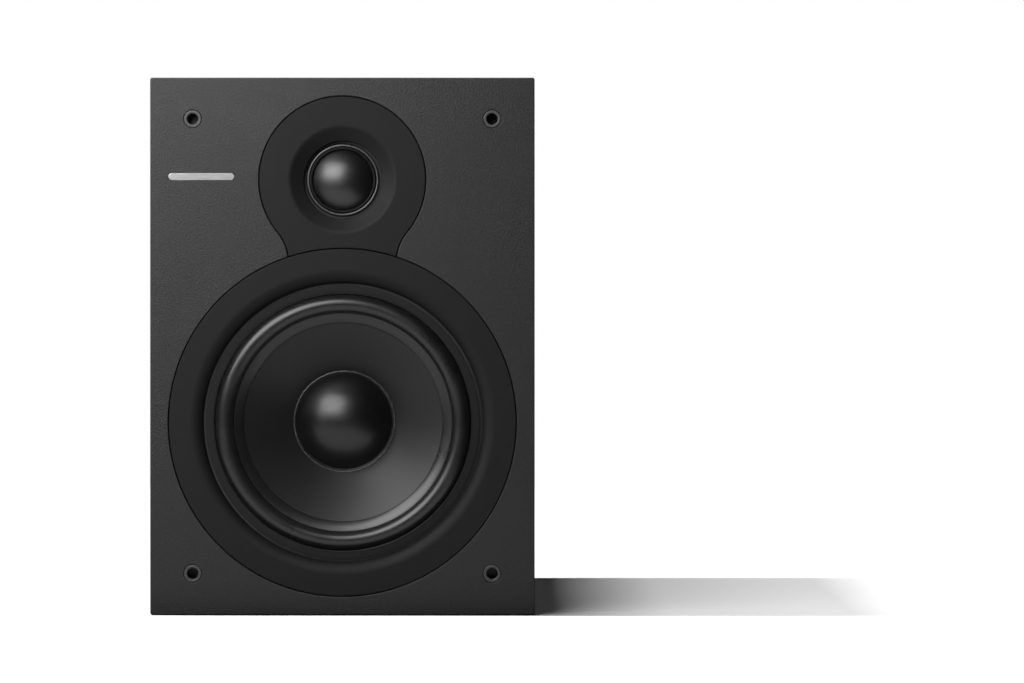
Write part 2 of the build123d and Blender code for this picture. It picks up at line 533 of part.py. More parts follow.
corrugations = 4
corrugation = (SPIDER_FREE_R - CONE_NECK_R - 1.5) / (2 * corrugations)
spider_front = [(CONE_NECK_R, SPIDER_DEPTH - SPIDER_THICKNESS)]
for wave in range(2 * corrugations):
    spider_front.append(
        (CONE_NECK_R + 1 + (wave + 0.5) * corrugation, SPIDER_DEPTH - SPIDER_THICKNESS + (-1) ** wave)
    )
spider_front.append((SPIDER_FREE_R, SPIDER_DEPTH - SPIDER_THICKNESS))
spider_front.append((SPIDER_R, SPIDER_DEPTH - SPIDER_THICKNESS))
spider_rear = [(r, depth + SPIDER_THICKNESS) for r, depth in reversed(spider_front)]
with BuildPart() as woofer_spider:
    with BuildSketch(woofer_section):
        with BuildLine():
            Polyline(*spider_front, *spider_rear, close=True)
        make_face()
    revolve(axis=woofer_axis)
woofer_spider.part.label = "woofer_spider"
export_step(woofer_spider.part, "parts/woofer_spider.step")

with BuildPart() as woofer_coil_former:
    with BuildSketch(face_plane(WOOFER_Z, FORMER_FRONT)):
        Circle(CONE_NECK_R)
        Circle(CONE_NECK_R - FORMER_WALL, mode=Mode.SUBTRACT)
    extrude(amount=FORMER_LENGTH)
woofer_coil_former.part.label = "woofer_coil_former"
export_step(woofer_coil_former.part, "parts/woofer_coil_former.step")

with BuildPart() as woofer_voice_coil:
    with BuildSketch(face_plane(WOOFER_Z, WOOFER_COIL_FRONT)):
        Circle(WOOFER_COIL_R)
        Circle(CONE_NECK_R, mode=Mode.SUBTRACT)
    extrude(amount=WOOFER_COIL_LENGTH)
woofer_voice_coil.part.label = "woofer_voice_coil"
export_step(woofer_voice_coil.part, "parts/woofer_voice_coil.step")

# ---- Tweeter, fixed pieces ----

with BuildPart() as tweeter_trim_plate:
    extrude(tweeter_outline.sketch, amount=TRIM_THICKNESS, dir=(0, 1, 0))
    with BuildSketch(tweeter_section):
        with BuildLine():
            Polyline(
                (0, 0),
                (RECESS_R, 0),
                (RECESS_BORE_R, RECESS_DEPTH),
                (RECESS_BORE_R, TRIM_THICKNESS),
                (0, TRIM_THICKNESS),
                close=True,
            )
        make_face()
    revolve(axis=tweeter_axis, mode=Mode.SUBTRACT)
tweeter_trim_plate.part.label = "tweeter_trim_plate"
export_step(tweeter_trim_plate.part, "parts/tweeter_trim_plate.step")

with BuildPart() as tweeter_chassis:
    with BuildSketch(tweeter_section):
        with BuildLine():
            Polyline(
                (13.9, DOME_DEPTH),
                (RECESS_BORE_R - 0.1, DOME_DEPTH),
                (RECESS_BORE_R - 0.1, TRIM_THICKNESS),
                (TWEETER_FLANGE_R, TRIM_THICKNESS),
                (TWEETER_FLANGE_R, flange_rear),
                (TWEETER_CUTOUT_R - 1, flange_rear),
                (TWEETER_CUTOUT_R - 1, TWEETER_PLATE_DEPTH),
                (13.9, TWEETER_PLATE_DEPTH),
                close=True,
            )
        make_face()
    revolve(axis=tweeter_axis)
    with Locations(face_plane(TWEETER_Z, TRIM_THICKNESS + TWEETER_HEAD / 2)):
        with PolarLocations(TWEETER_SCREW_RING_R, 4, start_angle=45):
            Cone(TWEETER_HEAD_R, TWEETER_SCREW_R, TWEETER_HEAD, mode=Mode.SUBTRACT)
    with BuildSketch(face_plane(TWEETER_Z, TRIM_THICKNESS + TWEETER_HEAD)):
        with PolarLocations(TWEETER_SCREW_RING_R, 4, start_angle=45):
            Circle(TWEETER_SCREW_R)
    extrude(amount=FLANGE_THICKNESS - TWEETER_HEAD, mode=Mode.SUBTRACT)
tweeter_chassis.part.label = "tweeter_chassis"
export_step(tweeter_chassis.part, "parts/tweeter_chassis.step")

with BuildPart() as tweeter_gasket:
    with BuildSketch(face_plane(TWEETER_Z, flange_rear)):
        Circle(TWEETER_FLANGE_R)
        Circle(TWEETER_CUTOUT_R + 0.1, mode=Mode.SUBTRACT)
        with PolarLocations(TWEETER_SCREW_RING_R, 4, start_angle=45):
            Circle(TWEETER_SCREW_R, mode=Mode.SUBTRACT)
    extrude(amount=TWEETER_GASKET)
tweeter_gasket.part.label = "tweeter_gasket"
export_step(tweeter_gasket.part, "parts/tweeter_gasket.step")

with BuildPart() as tweeter_screws:
    with Locations(face_plane(TWEETER_Z, TRIM_THICKNESS + TWEETER_HEAD / 2)):
        with PolarLocations(TWEETER_SCREW_RING_R, 4, start_angle=45):
            Cone(TWEETER_HEAD_R, TWEETER_SCREW_R, TWEETER_HEAD)
    with BuildSketch(face_plane(TWEETER_Z, TRIM_THICKNESS + TWEETER_HEAD)):
        with PolarLocations(TWEETER_SCREW_RING_R, 4, start_angle=45):
            Circle(TWEETER_SCREW_R)
    extrude(amount=SCREW_TIP - TRIM_THICKNESS - TWEETER_HEAD)
    with BuildSketch(face_plane(TWEETER_Z, TRIM_THICKNESS)):
        with PolarLocations(TWEETER_SCREW_RING_R, 4, start_angle=45):
            Rectangle(TWEETER_CROSS, TWEETER_CROSS_WIDTH)
            Rectangle(TWEETER_CROSS_WIDTH, TWEETER_CROSS)
    extrude(amount=TWEETER_CROSS_DEPTH, mode=Mode.SUBTRACT)
tweeter_screws.part.label = "tweeter_screws"
export_step(tweeter_screws.part, "parts/tweeter_screws.step")

clamp_ring_rear = DOME_DEPTH - SILK
with BuildPart() as tweeter_clamp_ring:
    with BuildSketch(face_plane(TWEETER_Z, clamp_ring_rear - CLAMP_RING)):
        Circle(CLAMP_RING_R)
        Circle(CLAMP_RING_INNER_R, mode=Mode.SUBTRACT)
    extrude(amount=CLAMP_RING)
tweeter_clamp_ring.part.label = "tweeter_clamp_ring"
export_step(tweeter_clamp_ring.part, "parts/tweeter_clamp_ring.step")

tweeter_magnet_depth = TWEETER_PLATE_DEPTH + TWEETER_PLATE
tweeter_back_depth = tweeter_magnet_depth + TWEETER_MAGNET
tweeter_cup_depth = tweeter_back_depth + TWEETER_PLATE
with BuildPart() as tweeter_top_plate:
    with BuildSketch(face_plane(TWEETER_Z, TWEETER_PLATE_DEPTH)):
        Circle(TWEETER_MAGNET_R)
        Circle(TWEETER_PLATE_BORE_R, mode=Mode.SUBTRACT)
    extrude(amount=TWEETER_PLATE)
tweeter_top_plate.part.label = "tweeter_top_plate"
export_step(tweeter_top_plate.part, "parts/tweeter_top_plate.step")

with BuildPart() as tweeter_magnet:
    with BuildSketch(face_plane(TWEETER_Z, tweeter_magnet_depth)):
        Circle(TWEETER_MAGNET_R)
        Circle(TWEETER_MAGNET_BORE_R, mode=Mode.SUBTRACT)
    extrude(amount=TWEETER_MAGNET)
tweeter_magnet.part.label = "tweeter_magnet"
export_step(tweeter_magnet.part, "parts/tweeter_magnet.step")

with BuildPart() as tweeter_back_plate:
    with BuildSketch(face_plane(TWEETER_Z, tweeter_back_depth)):
        Circle(TWEETER_MAGNET_R)
    extrude(amount=TWEETER_PLATE)
    with BuildSketch(face_plane(TWEETER_Z, TWEETER_PLATE_DEPTH)):
        Circle(TWEETER_POLE_R)
    extrude(amount=tweeter_back_depth - TWEETER_PLATE_DEPTH)
    with BuildSketch(face_plane(TWEETER_Z, TWEETER_PLATE_DEPTH)):
        Circle(TWEETER_VENT_R)
    extrude(amount=tweeter_cup_depth - TWEETER_PLATE_DEPTH, mode=Mode.SUBTRACT)
tweeter_back_plate.part.label = "tweeter_back_plate"
export_step(tweeter_back_plate.part, "parts/tweeter_back_plate.step")

with BuildPart() as tweeter_rear_cup:
    with BuildSketch(face_plane(TWEETER_Z, tweeter_cup_depth)):
        Circle(REAR_CUP_R)
    extrude(amount=REAR_CUP_LENGTH)
    fillet(tweeter_rear_cup.faces().sort_by(Axis.Y)[-1].edges(), REAR_CUP_ROUND)
    with BuildSketch(face_plane(TWEETER_Z, tweeter_cup_depth)):
        Circle(REAR_CUP_R - REAR_CUP_WALL)
    extrude(amount=REAR_CUP_LENGTH - REAR_CUP_WALL, mode=Mode.SUBTRACT)
tweeter_rear_cup.part.label = "tweeter_rear_cup"
export_step(tweeter_rear_cup.part, "parts/tweeter_rear_cup.step")

# ---- Tweeter, moving pieces ----

with BuildPart() as tweeter_dome:
    with BuildSketch(tweeter_section):
        with BuildLine():
            dome_sphere_r = (DOME_R**2 + DOME_HEIGHT**2) / (2 * DOME_HEIGHT)
            inside_r = DOME_R - DOME_THICKNESS
            inside_height = DOME_HEIGHT - DOME_THICKNESS
            inside_sphere_r = (inside_r**2 + inside_height**2) / (2 * inside_height)
            RadiusArc((0, DOME_DEPTH - DOME_HEIGHT), (DOME_R, DOME_DEPTH), -dome_sphere_r)
            Line((DOME_R, DOME_DEPTH), (inside_r, DOME_DEPTH))
            RadiusArc((inside_r, DOME_DEPTH), (0, DOME_DEPTH - inside_height), inside_sphere_r)
            Line((0, DOME_DEPTH - inside_height), (0, DOME_DEPTH - DOME_HEIGHT))
        make_face()
    revolve(axis=tweeter_axis)
tweeter_dome.part.label = "tweeter_dome"
export_step(tweeter_dome.part, "parts/tweeter_dome.step")

silk_roll_r, silk_centre_r = 0.8, 13.37
with BuildPart() as tweeter_surround:
    with BuildSketch(tweeter_section):
        with BuildLine():
            ThreePointArc(
                (silk_centre_r - silk_roll_r, DOME_DEPTH),
                (silk_centre_r, DOME_DEPTH - silk_roll_r),
                (silk_centre_r + silk_roll_r, DOME_DEPTH - SILK),
            )
            Polyline(
                (silk_centre_r + silk_roll_r, DOME_DEPTH - SILK),
                (15.6, DOME_DEPTH - SILK),
                (15.6, DOME_DEPTH),
                (silk_centre_r + silk_roll_r - SILK, DOME_DEPTH),
            )
            ThreePointArc(
                (silk_centre_r + silk_roll_r - SILK, DOME_DEPTH),
                (silk_centre_r, DOME_DEPTH - silk_roll_r + SILK),
                (silk_centre_r - silk_roll_r + SILK, DOME_DEPTH),
            )
            Line((silk_centre_r - silk_roll_r + SILK, DOME_DEPTH), (silk_centre_r - silk_roll_r, DOME_DEPTH))
        make_face()
    revolve(axis=tweeter_axis)
tweeter_surround.part.label = "tweeter_surround"
export_step(tweeter_surround.part, "parts/tweeter_surround.step")

with BuildPart() as tweeter_coil_former:
    with BuildSketch(face_plane(TWEETER_Z, DOME_DEPTH)):
        Circle(TWEETER_FORMER_R)
        Circle(TWEETER_FORMER_R - TWEETER_FORMER_WALL, mode=Mode.SUBTRACT)
    extrude(amount=TWEETER_FORMER_LENGTH)
tweeter_coil_former.part.label = "tweeter_coil_former"
export_step(tweeter_coil_former.part, "parts/tweeter_coil_former.step")

with BuildPart() as tweeter_voice_coil:
    with BuildSketch(face_plane(TWEETER_Z, TWEETER_COIL_DEPTH)):
        Circle(TWEETER_COIL_R)
        Circle(TWEETER_FORMER_R, mode=Mode.SUBTRACT)
    extrude(amount=TWEETER_COIL_LENGTH)
tweeter_voice_coil.part.label = "tweeter_voice_coil"
export_step(tweeter_voice_coil.part, "parts/tweeter_voice_coil.step")

# ---- Connections of both drivers ----

TAG_X = 4.5
TAG_BOARD = (16, 7, 1.6)
woofer_board_z = WOOFER_Z - basket_seat_r - 0.6 - 0.8
tweeter_board_z = TWEETER_Z - 21.4
with BuildPart() as tag_boards:
    with Locations((0, FRONT + WOOFER_PLATE_DEPTH - 3.5, woofer_board_z)):
        Box(*TAG_BOARD)
    with Locations((0, FRONT + tweeter_cup_depth + 3.5, tweeter_board_z)):
        Box(*TAG_BOARD)
tag_boards.part.label = "tag_boards"
export_step(tag_boards.part, "parts/tag_boards.step")

tag_length = 9.0
woofer_tag_front = FRONT + WOOFER_PLATE_DEPTH - 5
tweeter_tag_front = FRONT + tweeter_cup_depth + 2
with BuildPart() as driver_tags:
    with Locations((0, woofer_tag_front + tag_length / 2, woofer_board_z - 1.2)):
        with GridLocations(2 * TAG_X, 1, 2, 1):
            Box(POST_TAG_WIDTH, tag_length, TAG_THICKNESS)
    with Locations((0, tweeter_tag_front + tag_length / 2, tweeter_board_z - 1.2)):
        with GridLocations(2 * TAG_X, 1, 2, 1):
            Box(POST_TAG_WIDTH, tag_length, TAG_THICKNESS)
driver_tags.part.label = "driver_tags"
export_step(driver_tags.part, "parts/driver_tags.step")

# Flexible leads from the tag board, forwards outside the basket and in through its lowest window to the cone.
lead_r = 0.6
lead_board_y = FRONT + WOOFER_PLATE_DEPTH - 7
lead_start_z = woofer_board_z - 0.2
lead_inner_r = 24.0
with BuildPart() as woofer_tinsel_leads:
    for lead_x in (-TAG_X, TAG_X):
        with BuildLine() as lead_path:
            FilletPolyline(
                (lead_x, lead_board_y - 0.5, lead_start_z),
                (lead_x, lead_board_y - 3.5, lead_start_z - 3),
                (lead_x, lead_board_y - 11, lead_start_z - 3),
                (lead_x, FRONT + cone_depth(lead_inner_r) + CONE_THICKNESS + 0.9, WOOFER_Z - lead_inner_r),
                radius=1.5,
            )
        with BuildSketch(Plane(origin=lead_path.line @ 0, z_dir=lead_path.line % 0)):
            Circle(lead_r)
        sweep(path=lead_path.line)
woofer_tinsel_leads.part.label = "woofer_tinsel_leads"
export_step(woofer_tinsel_leads.part, "parts/woofer_tinsel_leads.step")

# ---- Port ----

port_section = Plane((0, REAR, PORT_Z))
port_axis = Axis((0, REAR, PORT_Z), (0, 1, 0))
port_outer_r = PORT_BORE_R + PORT_WALL
with BuildPart() as port_tube:
    with BuildSketch(port_section):
        with BuildLine():
            Polyline(
                (PORT_BORE_R + PORT_FLARE_R, 0),
                (PORT_FLANGE_R, 0),
                (PORT_FLANGE_R, -PORT_FLANGE),
                (port_outer_r + PORT_FLARE_R - 1, -PORT_FLANGE),
            )
            RadiusArc(
                (port_outer_r + PORT_FLARE_R - 1, -PORT_FLANGE),
                (port_outer_r, -PORT_FLANGE - PORT_FLARE_R),
                -PORT_FLARE_R,
            )
            Polyline(
                (port_outer_r, -PORT_FLANGE - PORT_FLARE_R),
                (port_outer_r, -PORT_LENGTH),
                (PORT_BORE_R + 1, -PORT_LENGTH),
                (PORT_BORE_R, -PORT_LENGTH + 3),
                (PORT_BORE_R, -PORT_FLARE_R),
            )
            RadiusArc((PORT_BORE_R, -PORT_FLARE_R), (PORT_BORE_R + PORT_FLARE_R, 0), PORT_FLARE_R)
        make_face()
    revolve(axis=port_axis)
port_tube.part.label = "port_tube"
export_step(port_tube.part, "parts/port_tube.step")

# ---- Terminal cup ----

cup_flange_front = REAR - CUP_FLANGE
with BuildPart() as terminal_cup:
    with BuildSketch(rear_plane(0, REAR, CUP_Z)):
        RectangleRounded(CUP_FLANGE_X - CUP_FIT, CUP_FLANGE_Z - CUP_FIT, CUP_FLANGE_CORNER)
    extrude(amount=-CUP_FLANGE)
    with BuildSketch(rear_plane(0, CUP_FLOOR - CUP_WALL, CUP_Z)):
        RectangleRounded(CUP_BODY_X - CUP_FIT, CUP_BODY_Z - CUP_FIT, CUP_BODY_CORNER)
    extrude(amount=cup_flange_front - CUP_FLOOR + CUP_WALL)
    with BuildSketch(rear_plane(0, CUP_FLOOR, CUP_Z)):
        RectangleRounded(CUP_BODY_X - 2 * CUP_WALL, CUP_BODY_Z - 2 * CUP_WALL, CUP_FLANGE_CORNER)
    extrude(amount=REAR - CUP_FLOOR, mode=Mode.SUBTRACT)
    with BuildSketch(rear_plane(0, CUP_FLOOR, CUP_Z)):
        with GridLocations(2 * POST_X, 1, 2, 1):
            Circle(STUD_R)
    extrude(amount=-CUP_WALL, mode=Mode.SUBTRACT)
    with BuildSketch(rear_plane(0, REAR, CUP_Z)):
        with GridLocations(cup_screws_x, cup_screws_z, 2, 2):
            Circle(CUP_SCREW_R)
    extrude(amount=-CUP_FLANGE, mode=Mode.SUBTRACT)
    with Locations(rear_plane(0, REAR - CUP_HEAD / 2, CUP_Z)):
        with GridLocations(cup_screws_x, cup_screws_z, 2, 2):
            Cone(CUP_SCREW_R, CUP_HEAD_R, CUP_HEAD, mode=Mode.SUBTRACT)
terminal_cup.part.label = "terminal_cup"
export_step(terminal_cup.part, "parts/terminal_cup.step")

with BuildPart() as terminal_gasket:
    with BuildSketch(rear_plane(0, cup_flange_front - CUP_GASKET, CUP_Z)):
        RectangleRounded(CUP_FLANGE_X - CUP_FIT, CUP_FLANGE_Z - CUP_FIT, CUP_FLANGE_CORNER)
        Rectangle(CUP_BODY_X, CUP_BODY_Z, mode=Mode.SUBTRACT)
        with GridLocations(cup_screws_x, cup_screws_z, 2, 2):
            Circle(CUP_SCREW_R, mode=Mode.SUBTRACT)
    extrude(amount=CUP_GASKET)
terminal_gasket.part.label = "terminal_gasket"
export_step(terminal_gasket.part, "parts/terminal_gasket.step")

with BuildPart() as terminal_screws:
    with Locations(rear_plane(0, REAR - CUP_HEAD / 2, CUP_Z)):
        with GridLocations(cup_screws_x, cup_screws_z, 2, 2):
            Cone(CUP_SCREW_R, CUP_HEAD_R, CUP_HEAD)
    with BuildSketch(rear_plane(0, REAR - CUP_HEAD, CUP_Z)):
        with GridLocations(cup_screws_x, cup_screws_z, 2, 2):
            Circle(CUP_SCREW_R)
    extrude(amount=-(WALL - 1 - CUP_HEAD))
    with BuildSketch(rear_plane(0, REAR, CUP_Z)):
        with GridLocations(cup_screws_x, cup_screws_z, 2, 2):
            Rectangle(CUP_CROSS, CUP_CROSS_WIDTH)
            Rectangle(CUP_CROSS_WIDTH, CUP_CROSS)
    extrude(amount=-CUP_CROSS_DEPTH, mode=Mode.SUBTRACT)
terminal_screws.part.label = "terminal_screws"
export_step(terminal_screws.part, "parts/terminal_screws.step")

nut_y = CUP_FLOOR - CUP_WALL
with BuildPart() as post_studs:
    with BuildSketch(rear_plane(0, STUD_INNER_END, CUP_Z)):
        with GridLocations(2 * POST_X, 1, 2, 1):
            Circle(STUD_R)
    extrude(amount=STUD_TIP - STUD_INNER_END)
    with BuildSketch(rear_plane(0, STUD_TIP, CUP_Z)):
        with GridLocations(2 * POST_X, 1, 2, 1):
            Circle(STUD_BORE_R)
    extrude(amount=-STUD_BORE_DEPTH, mode=Mode.SUBTRACT)
post_studs.part.label = "post_studs"
export_step(post_studs.part, "parts/post_studs.step")

with BuildPart() as post_tags:
    for post_x in (-POST_X, POST_X):
        with BuildSketch(rear_plane(post_x, nut_y - TAG_THICKNESS, CUP_Z)):
            Circle(POST_TAG_R)
            with Locations((0, -(POST_TAG_REACH - POST_TAG_R))):
                Rectangle(POST_TAG_WIDTH, 2 * POST_TAG_R)
            Circle(STUD_R, mode=Mode.SUBTRACT)
        extrude(amount=TAG_THICKNESS)
post_tags.part.label = "post_tags"
export_step(post_tags.part, "parts/post_tags.step")

with BuildPart() as post_nuts:
    with BuildSketch(rear_plane(0, nut_y - TAG_THICKNESS - NUT_HEIGHT, CUP_Z)):
        with GridLocations(2 * POST_X, 1, 2, 1):
            RegularPolygon(NUT_HALF_WIDTH, 6, major_radius=False)
            Circle(STUD_R, mode=Mode.SUBTRACT)
    extrude(amount=NUT_HEIGHT)
post_nuts.part.label = "post_nuts"
export_step(post_nuts.part, "parts/post_nuts.step")

# Each binding post: a fixed collar, then a washer that slides on the stud, then the knob that turns on it.
washer_y = CUP_FLOOR + COLLAR_HEIGHT
knob_y = washer_y + WASHER_THICKNESS
for colour, post_x in (("red", POST_X), ("black", -POST_X)):
    with BuildPart() as collar:
        with BuildSketch(rear_plane(post_x, CUP_FLOOR, CUP_Z)):
            Circle(COLLAR_R)
            Circle(STUD_R, mode=Mode.SUBTRACT)
        extrude(amount=COLLAR_HEIGHT)
        chamfer(collar.faces().sort_by(Axis.Y)[-1].edges().sort_by(SortBy.RADIUS)[-1], COLLAR_CHAMFER)
    collar.part.label = f"{colour}_collar"
    export_step(collar.part, f"parts/{colour}_collar.step")

    with BuildPart() as washer:
        with BuildSketch(rear_plane(post_x, washer_y, CUP_Z)):
            Circle(WASHER_R)
            Circle(STUD_R + RUNNING_CLEARANCE, mode=Mode.SUBTRACT)
        extrude(amount=WASHER_THICKNESS)
    washer.part.label = f"{colour}_washer"
    export_step(washer.part, f"parts/{colour}_washer.step")

    with BuildPart() as knob:
        with BuildSketch(rear_plane(post_x, knob_y, CUP_Z)):
            Circle(KNOB_R)
        extrude(amount=KNOB_LENGTH)
        chamfer(knob.edges().filter_by(GeomType.CIRCLE), KNOB_CHAMFER)
        with BuildSketch(rear_plane(post_x, knob_y + KNOB_BASE, CUP_Z)):
            with PolarLocations(KNOB_R + 0.2, KNOB_FLUTES):
                Circle(FLUTE_R)
        extrude(amount=KNOB_LENGTH - KNOB_BASE, mode=Mode.SUBTRACT)
        with BuildSketch(rear_plane(post_x, knob_y, CUP_Z)):
            Circle(STUD_R + RUNNING_CLEARANCE)
        extrude(amount=KNOB_LENGTH, mode=Mode.SUBTRACT)
    knob.part.label = f"{colour}_knob"
    export_step(knob.part, f"parts/{colour}_knob.step")

# ---- Crossover ----

board_middle_y = (BOARD_REAR + BOARD_FRONT) / 2
board_length = BOARD_REAR - BOARD_FRONT
board_holes_x = BOARD_X - 2 * BOARD_HOLE_INSET
board_holes_y = board_length - 2 * BOARD_HOLE_INSET
with BuildPart() as crossover_board:
    with BuildSketch(Plane((0, board_middle_y, WALL + STANDOFF_HEIGHT))):
        RectangleRounded(BOARD_X, board_length, BOARD_CORNER)
        with GridLocations(board_holes_x, board_holes_y, 2, 2):
            Circle(BOARD_SCREW_R, mode=Mode.SUBTRACT)
    extrude(amount=BOARD_THICKNESS)
crossover_board.part.label = "crossover_board"
export_step(crossover_board.part, "parts/crossover_board.step")

with BuildPart() as crossover_standoffs:
    with BuildSketch(Plane((0, board_middle_y, WALL))):
        with GridLocations(board_holes_x, board_holes_y, 2, 2):
            Circle(STANDOFF_R)
            Circle(BOARD_SCREW_R, mode=Mode.SUBTRACT)
    extrude(amount=STANDOFF_HEIGHT)
crossover_standoffs.part.label = "crossover_standoffs"
export_step(crossover_standoffs.part, "parts/crossover_standoffs.step")

with BuildPart() as crossover_screws:
    with BuildSketch(Plane((0, board_middle_y, WALL))):
        with GridLocations(board_holes_x, board_holes_y, 2, 2):
            Circle(BOARD_SCREW_R)
    extrude(amount=BOARD_TOP - WALL)
    with BuildSketch(Plane((0, board_middle_y, BOARD_TOP))):
        with GridLocations(board_holes_x, board_holes_y, 2, 2):
            Circle(BOARD_HEAD_R)
    extrude(amount=BOARD_HEAD)
    fillet(crossover_screws.faces().group_by(Axis.Z)[-1].edges(), BOARD_HEAD_ROUND)
crossover_screws.part.label = "crossover_screws"
export_step(crossover_screws.part, "parts/crossover_screws.step")

with BuildPart() as crossover_inductors:
    with BuildSketch(Plane((*WOOFER_INDUCTOR_PLACE, BOARD_TOP))):
        Circle(WOOFER_INDUCTOR_R)
        Circle(WOOFER_INDUCTOR_BORE_R, mode=Mode.SUBTRACT)
    extrude(amount=WOOFER_INDUCTOR_LENGTH)
    tweeter_inductor_middle = (*TWEETER_INDUCTOR_PLACE, BOARD_TOP + TWEETER_INDUCTOR_R)
    with BuildSketch(Plane(tweeter_inductor_middle, x_dir=(1, 0, 0), z_dir=(0, -1, 0))):
        Circle(TWEETER_INDUCTOR_R)
        Circle(TWEETER_INDUCTOR_BORE_R, mode=Mode.SUBTRACT)
    extrude(amount=TWEETER_INDUCTOR_LENGTH)
crossover_inductors.part.label = "crossover_inductors"
export_step(crossover_inductors.part, "parts/crossover_inductors.step")

with BuildPart() as crossover_capacitors:
    big_middle = (*BIG_CAPACITOR_PLACE, BOARD_TOP + BIG_CAPACITOR_R)
    with BuildSketch(Plane(big_middle, x_dir=(0, 1, 0), z_dir=(1, 0, 0))):
        Circle(BIG_CAPACITOR_R)
    extrude(amount=BIG_CAPACITOR_LENGTH)
    small_middle = (*SMALL_CAPACITOR_PLACE, BOARD_TOP + SMALL_CAPACITOR_R)
    with BuildSketch(Plane(small_middle, x_dir=(0, 1, 0), z_dir=(1, 0, 0))):
        Circle(SMALL_CAPACITOR_R)
    extrude(amount=SMALL_CAPACITOR_LENGTH)
    fillet(crossover_capacitors.edges().filter_by(GeomType.CIRCLE), 1)
crossover_capacitors.part.label = "crossover_capacitors"
export_step(crossover_capacitors.part, "parts/crossover_capacitors.step")

with BuildPart() as crossover_resistor:
    with Locations((*RESISTOR_PLACE, BOARD_TOP + RESISTOR_WIDTH / 2)):
        Box(RESISTOR_LENGTH, RESISTOR_WIDTH, RESISTOR_WIDTH)
    fillet(crossover_resistor.edges().filter_by(Axis.X), 0.8)
crossover_resistor.part.label = "crossover_resistor"
export_step(crossover_resistor.part, "parts/crossover_resistor.step")

# Wire pairs, clipped between their tags and the crossover: from the posts, to the woofer and to the tweeter.
post_tag_end = CUP_Z - 12
post_wire_y = nut_y - TAG_THICKNESS - WIRE_R
woofer_tag_rear = woofer_tag_front + tag_length
tweeter_tag_rear = tweeter_tag_front + tag_length
for colour, side in (("red", 1), ("black", -1)):
    post_x = side * POST_X
    tag_x = side * TAG_X
    routes = [
        (
            (post_x, post_wire_y, post_tag_end + 3),
            (post_x, post_wire_y, 26),
            (post_x, 70, 26),
            (side * 4, 50, 26),
            (side * 4, 50, BOARD_TOP),
        ),
        (
            (tag_x, woofer_tag_rear, woofer_board_z - 1.2),
            (tag_x, -20, woofer_board_z - 1.2),
            (tag_x, -20, BOARD_TOP),
        ),
        (
            (tag_x, tweeter_tag_rear, tweeter_board_z - 1.2),
            (tag_x, -62, tweeter_board_z - 1.2),
            (tag_x - 40, -24, 140),
            (tag_x - 40, -20, 60),
            (tag_x - 40, -20, BOARD_TOP),
        ),
    ]
    with BuildPart() as wires:
        for route in routes:
            with BuildLine() as wire_path:
                FilletPolyline(*route, radius=2.5)
            with BuildSketch(Plane(origin=wire_path.line @ 0, z_dir=wire_path.line % 0)):
                Circle(WIRE_R)
            sweep(path=wire_path.line)
    wires.part.label = f"{colour}_wires"
    export_step(wires.part, f"parts/{colour}_wires.step")
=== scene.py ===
import json
from math import acos, asin, atan2, cos, hypot, pi, radians, sin, sqrt, tau

import bmesh
import bpy
from mathutils import Matrix, Vector, noise

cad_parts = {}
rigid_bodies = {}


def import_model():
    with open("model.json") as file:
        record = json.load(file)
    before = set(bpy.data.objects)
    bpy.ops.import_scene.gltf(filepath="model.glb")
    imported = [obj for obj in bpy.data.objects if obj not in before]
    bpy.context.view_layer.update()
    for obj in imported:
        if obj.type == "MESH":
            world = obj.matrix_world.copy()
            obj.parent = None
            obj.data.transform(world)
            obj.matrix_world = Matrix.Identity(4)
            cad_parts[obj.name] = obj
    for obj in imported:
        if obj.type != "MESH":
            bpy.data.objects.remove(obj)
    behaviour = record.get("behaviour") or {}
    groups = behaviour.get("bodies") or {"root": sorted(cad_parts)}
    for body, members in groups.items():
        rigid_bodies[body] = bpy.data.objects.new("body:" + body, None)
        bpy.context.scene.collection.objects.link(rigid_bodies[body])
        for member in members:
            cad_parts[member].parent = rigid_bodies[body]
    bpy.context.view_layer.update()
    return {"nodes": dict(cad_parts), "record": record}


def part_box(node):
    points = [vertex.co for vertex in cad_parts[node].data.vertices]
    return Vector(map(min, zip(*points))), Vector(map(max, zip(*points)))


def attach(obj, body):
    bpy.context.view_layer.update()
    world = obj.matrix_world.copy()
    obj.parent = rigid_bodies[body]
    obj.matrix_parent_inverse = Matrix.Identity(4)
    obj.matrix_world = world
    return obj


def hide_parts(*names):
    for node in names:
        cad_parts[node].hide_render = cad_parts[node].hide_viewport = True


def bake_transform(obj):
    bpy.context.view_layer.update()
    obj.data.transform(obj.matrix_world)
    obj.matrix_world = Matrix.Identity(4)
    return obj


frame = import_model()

bl_info = {
    "name": "Bookshelf speaker",
    "version": (1, 0, 0),
    "blender": (4, 5, 0),
    "location": "View3D > Sidebar > Speaker",
    "description": "Builds a two-way bookshelf speaker around its engineering frame",
    "category": "Object",
}

MM = 0.001

# Places, all taken from the frame. Depth is measured back from the cabinet's front face.
baffle_low, baffle_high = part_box("front_baffle")
FRONT = baffle_low.y
BAFFLE_REAR = baffle_high.y
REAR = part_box("right_panel")[1].y
WIDTH = baffle_high.x - baffle_low.x
HEIGHT = baffle_high.z
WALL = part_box("bottom_panel")[1].z


def middle(node):
    """Centre of a node's box."""
    low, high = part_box(node)
    return (low + high) / 2


def half_width(node):
    """Half of a node's width: the radius of a round one."""
    low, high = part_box(node)
    return (high.x - low.x) / 2


def depth_of(node, side):
    """Depth of a node's front (side 0) or rear (side 1)."""
    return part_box(node)[side].y - FRONT


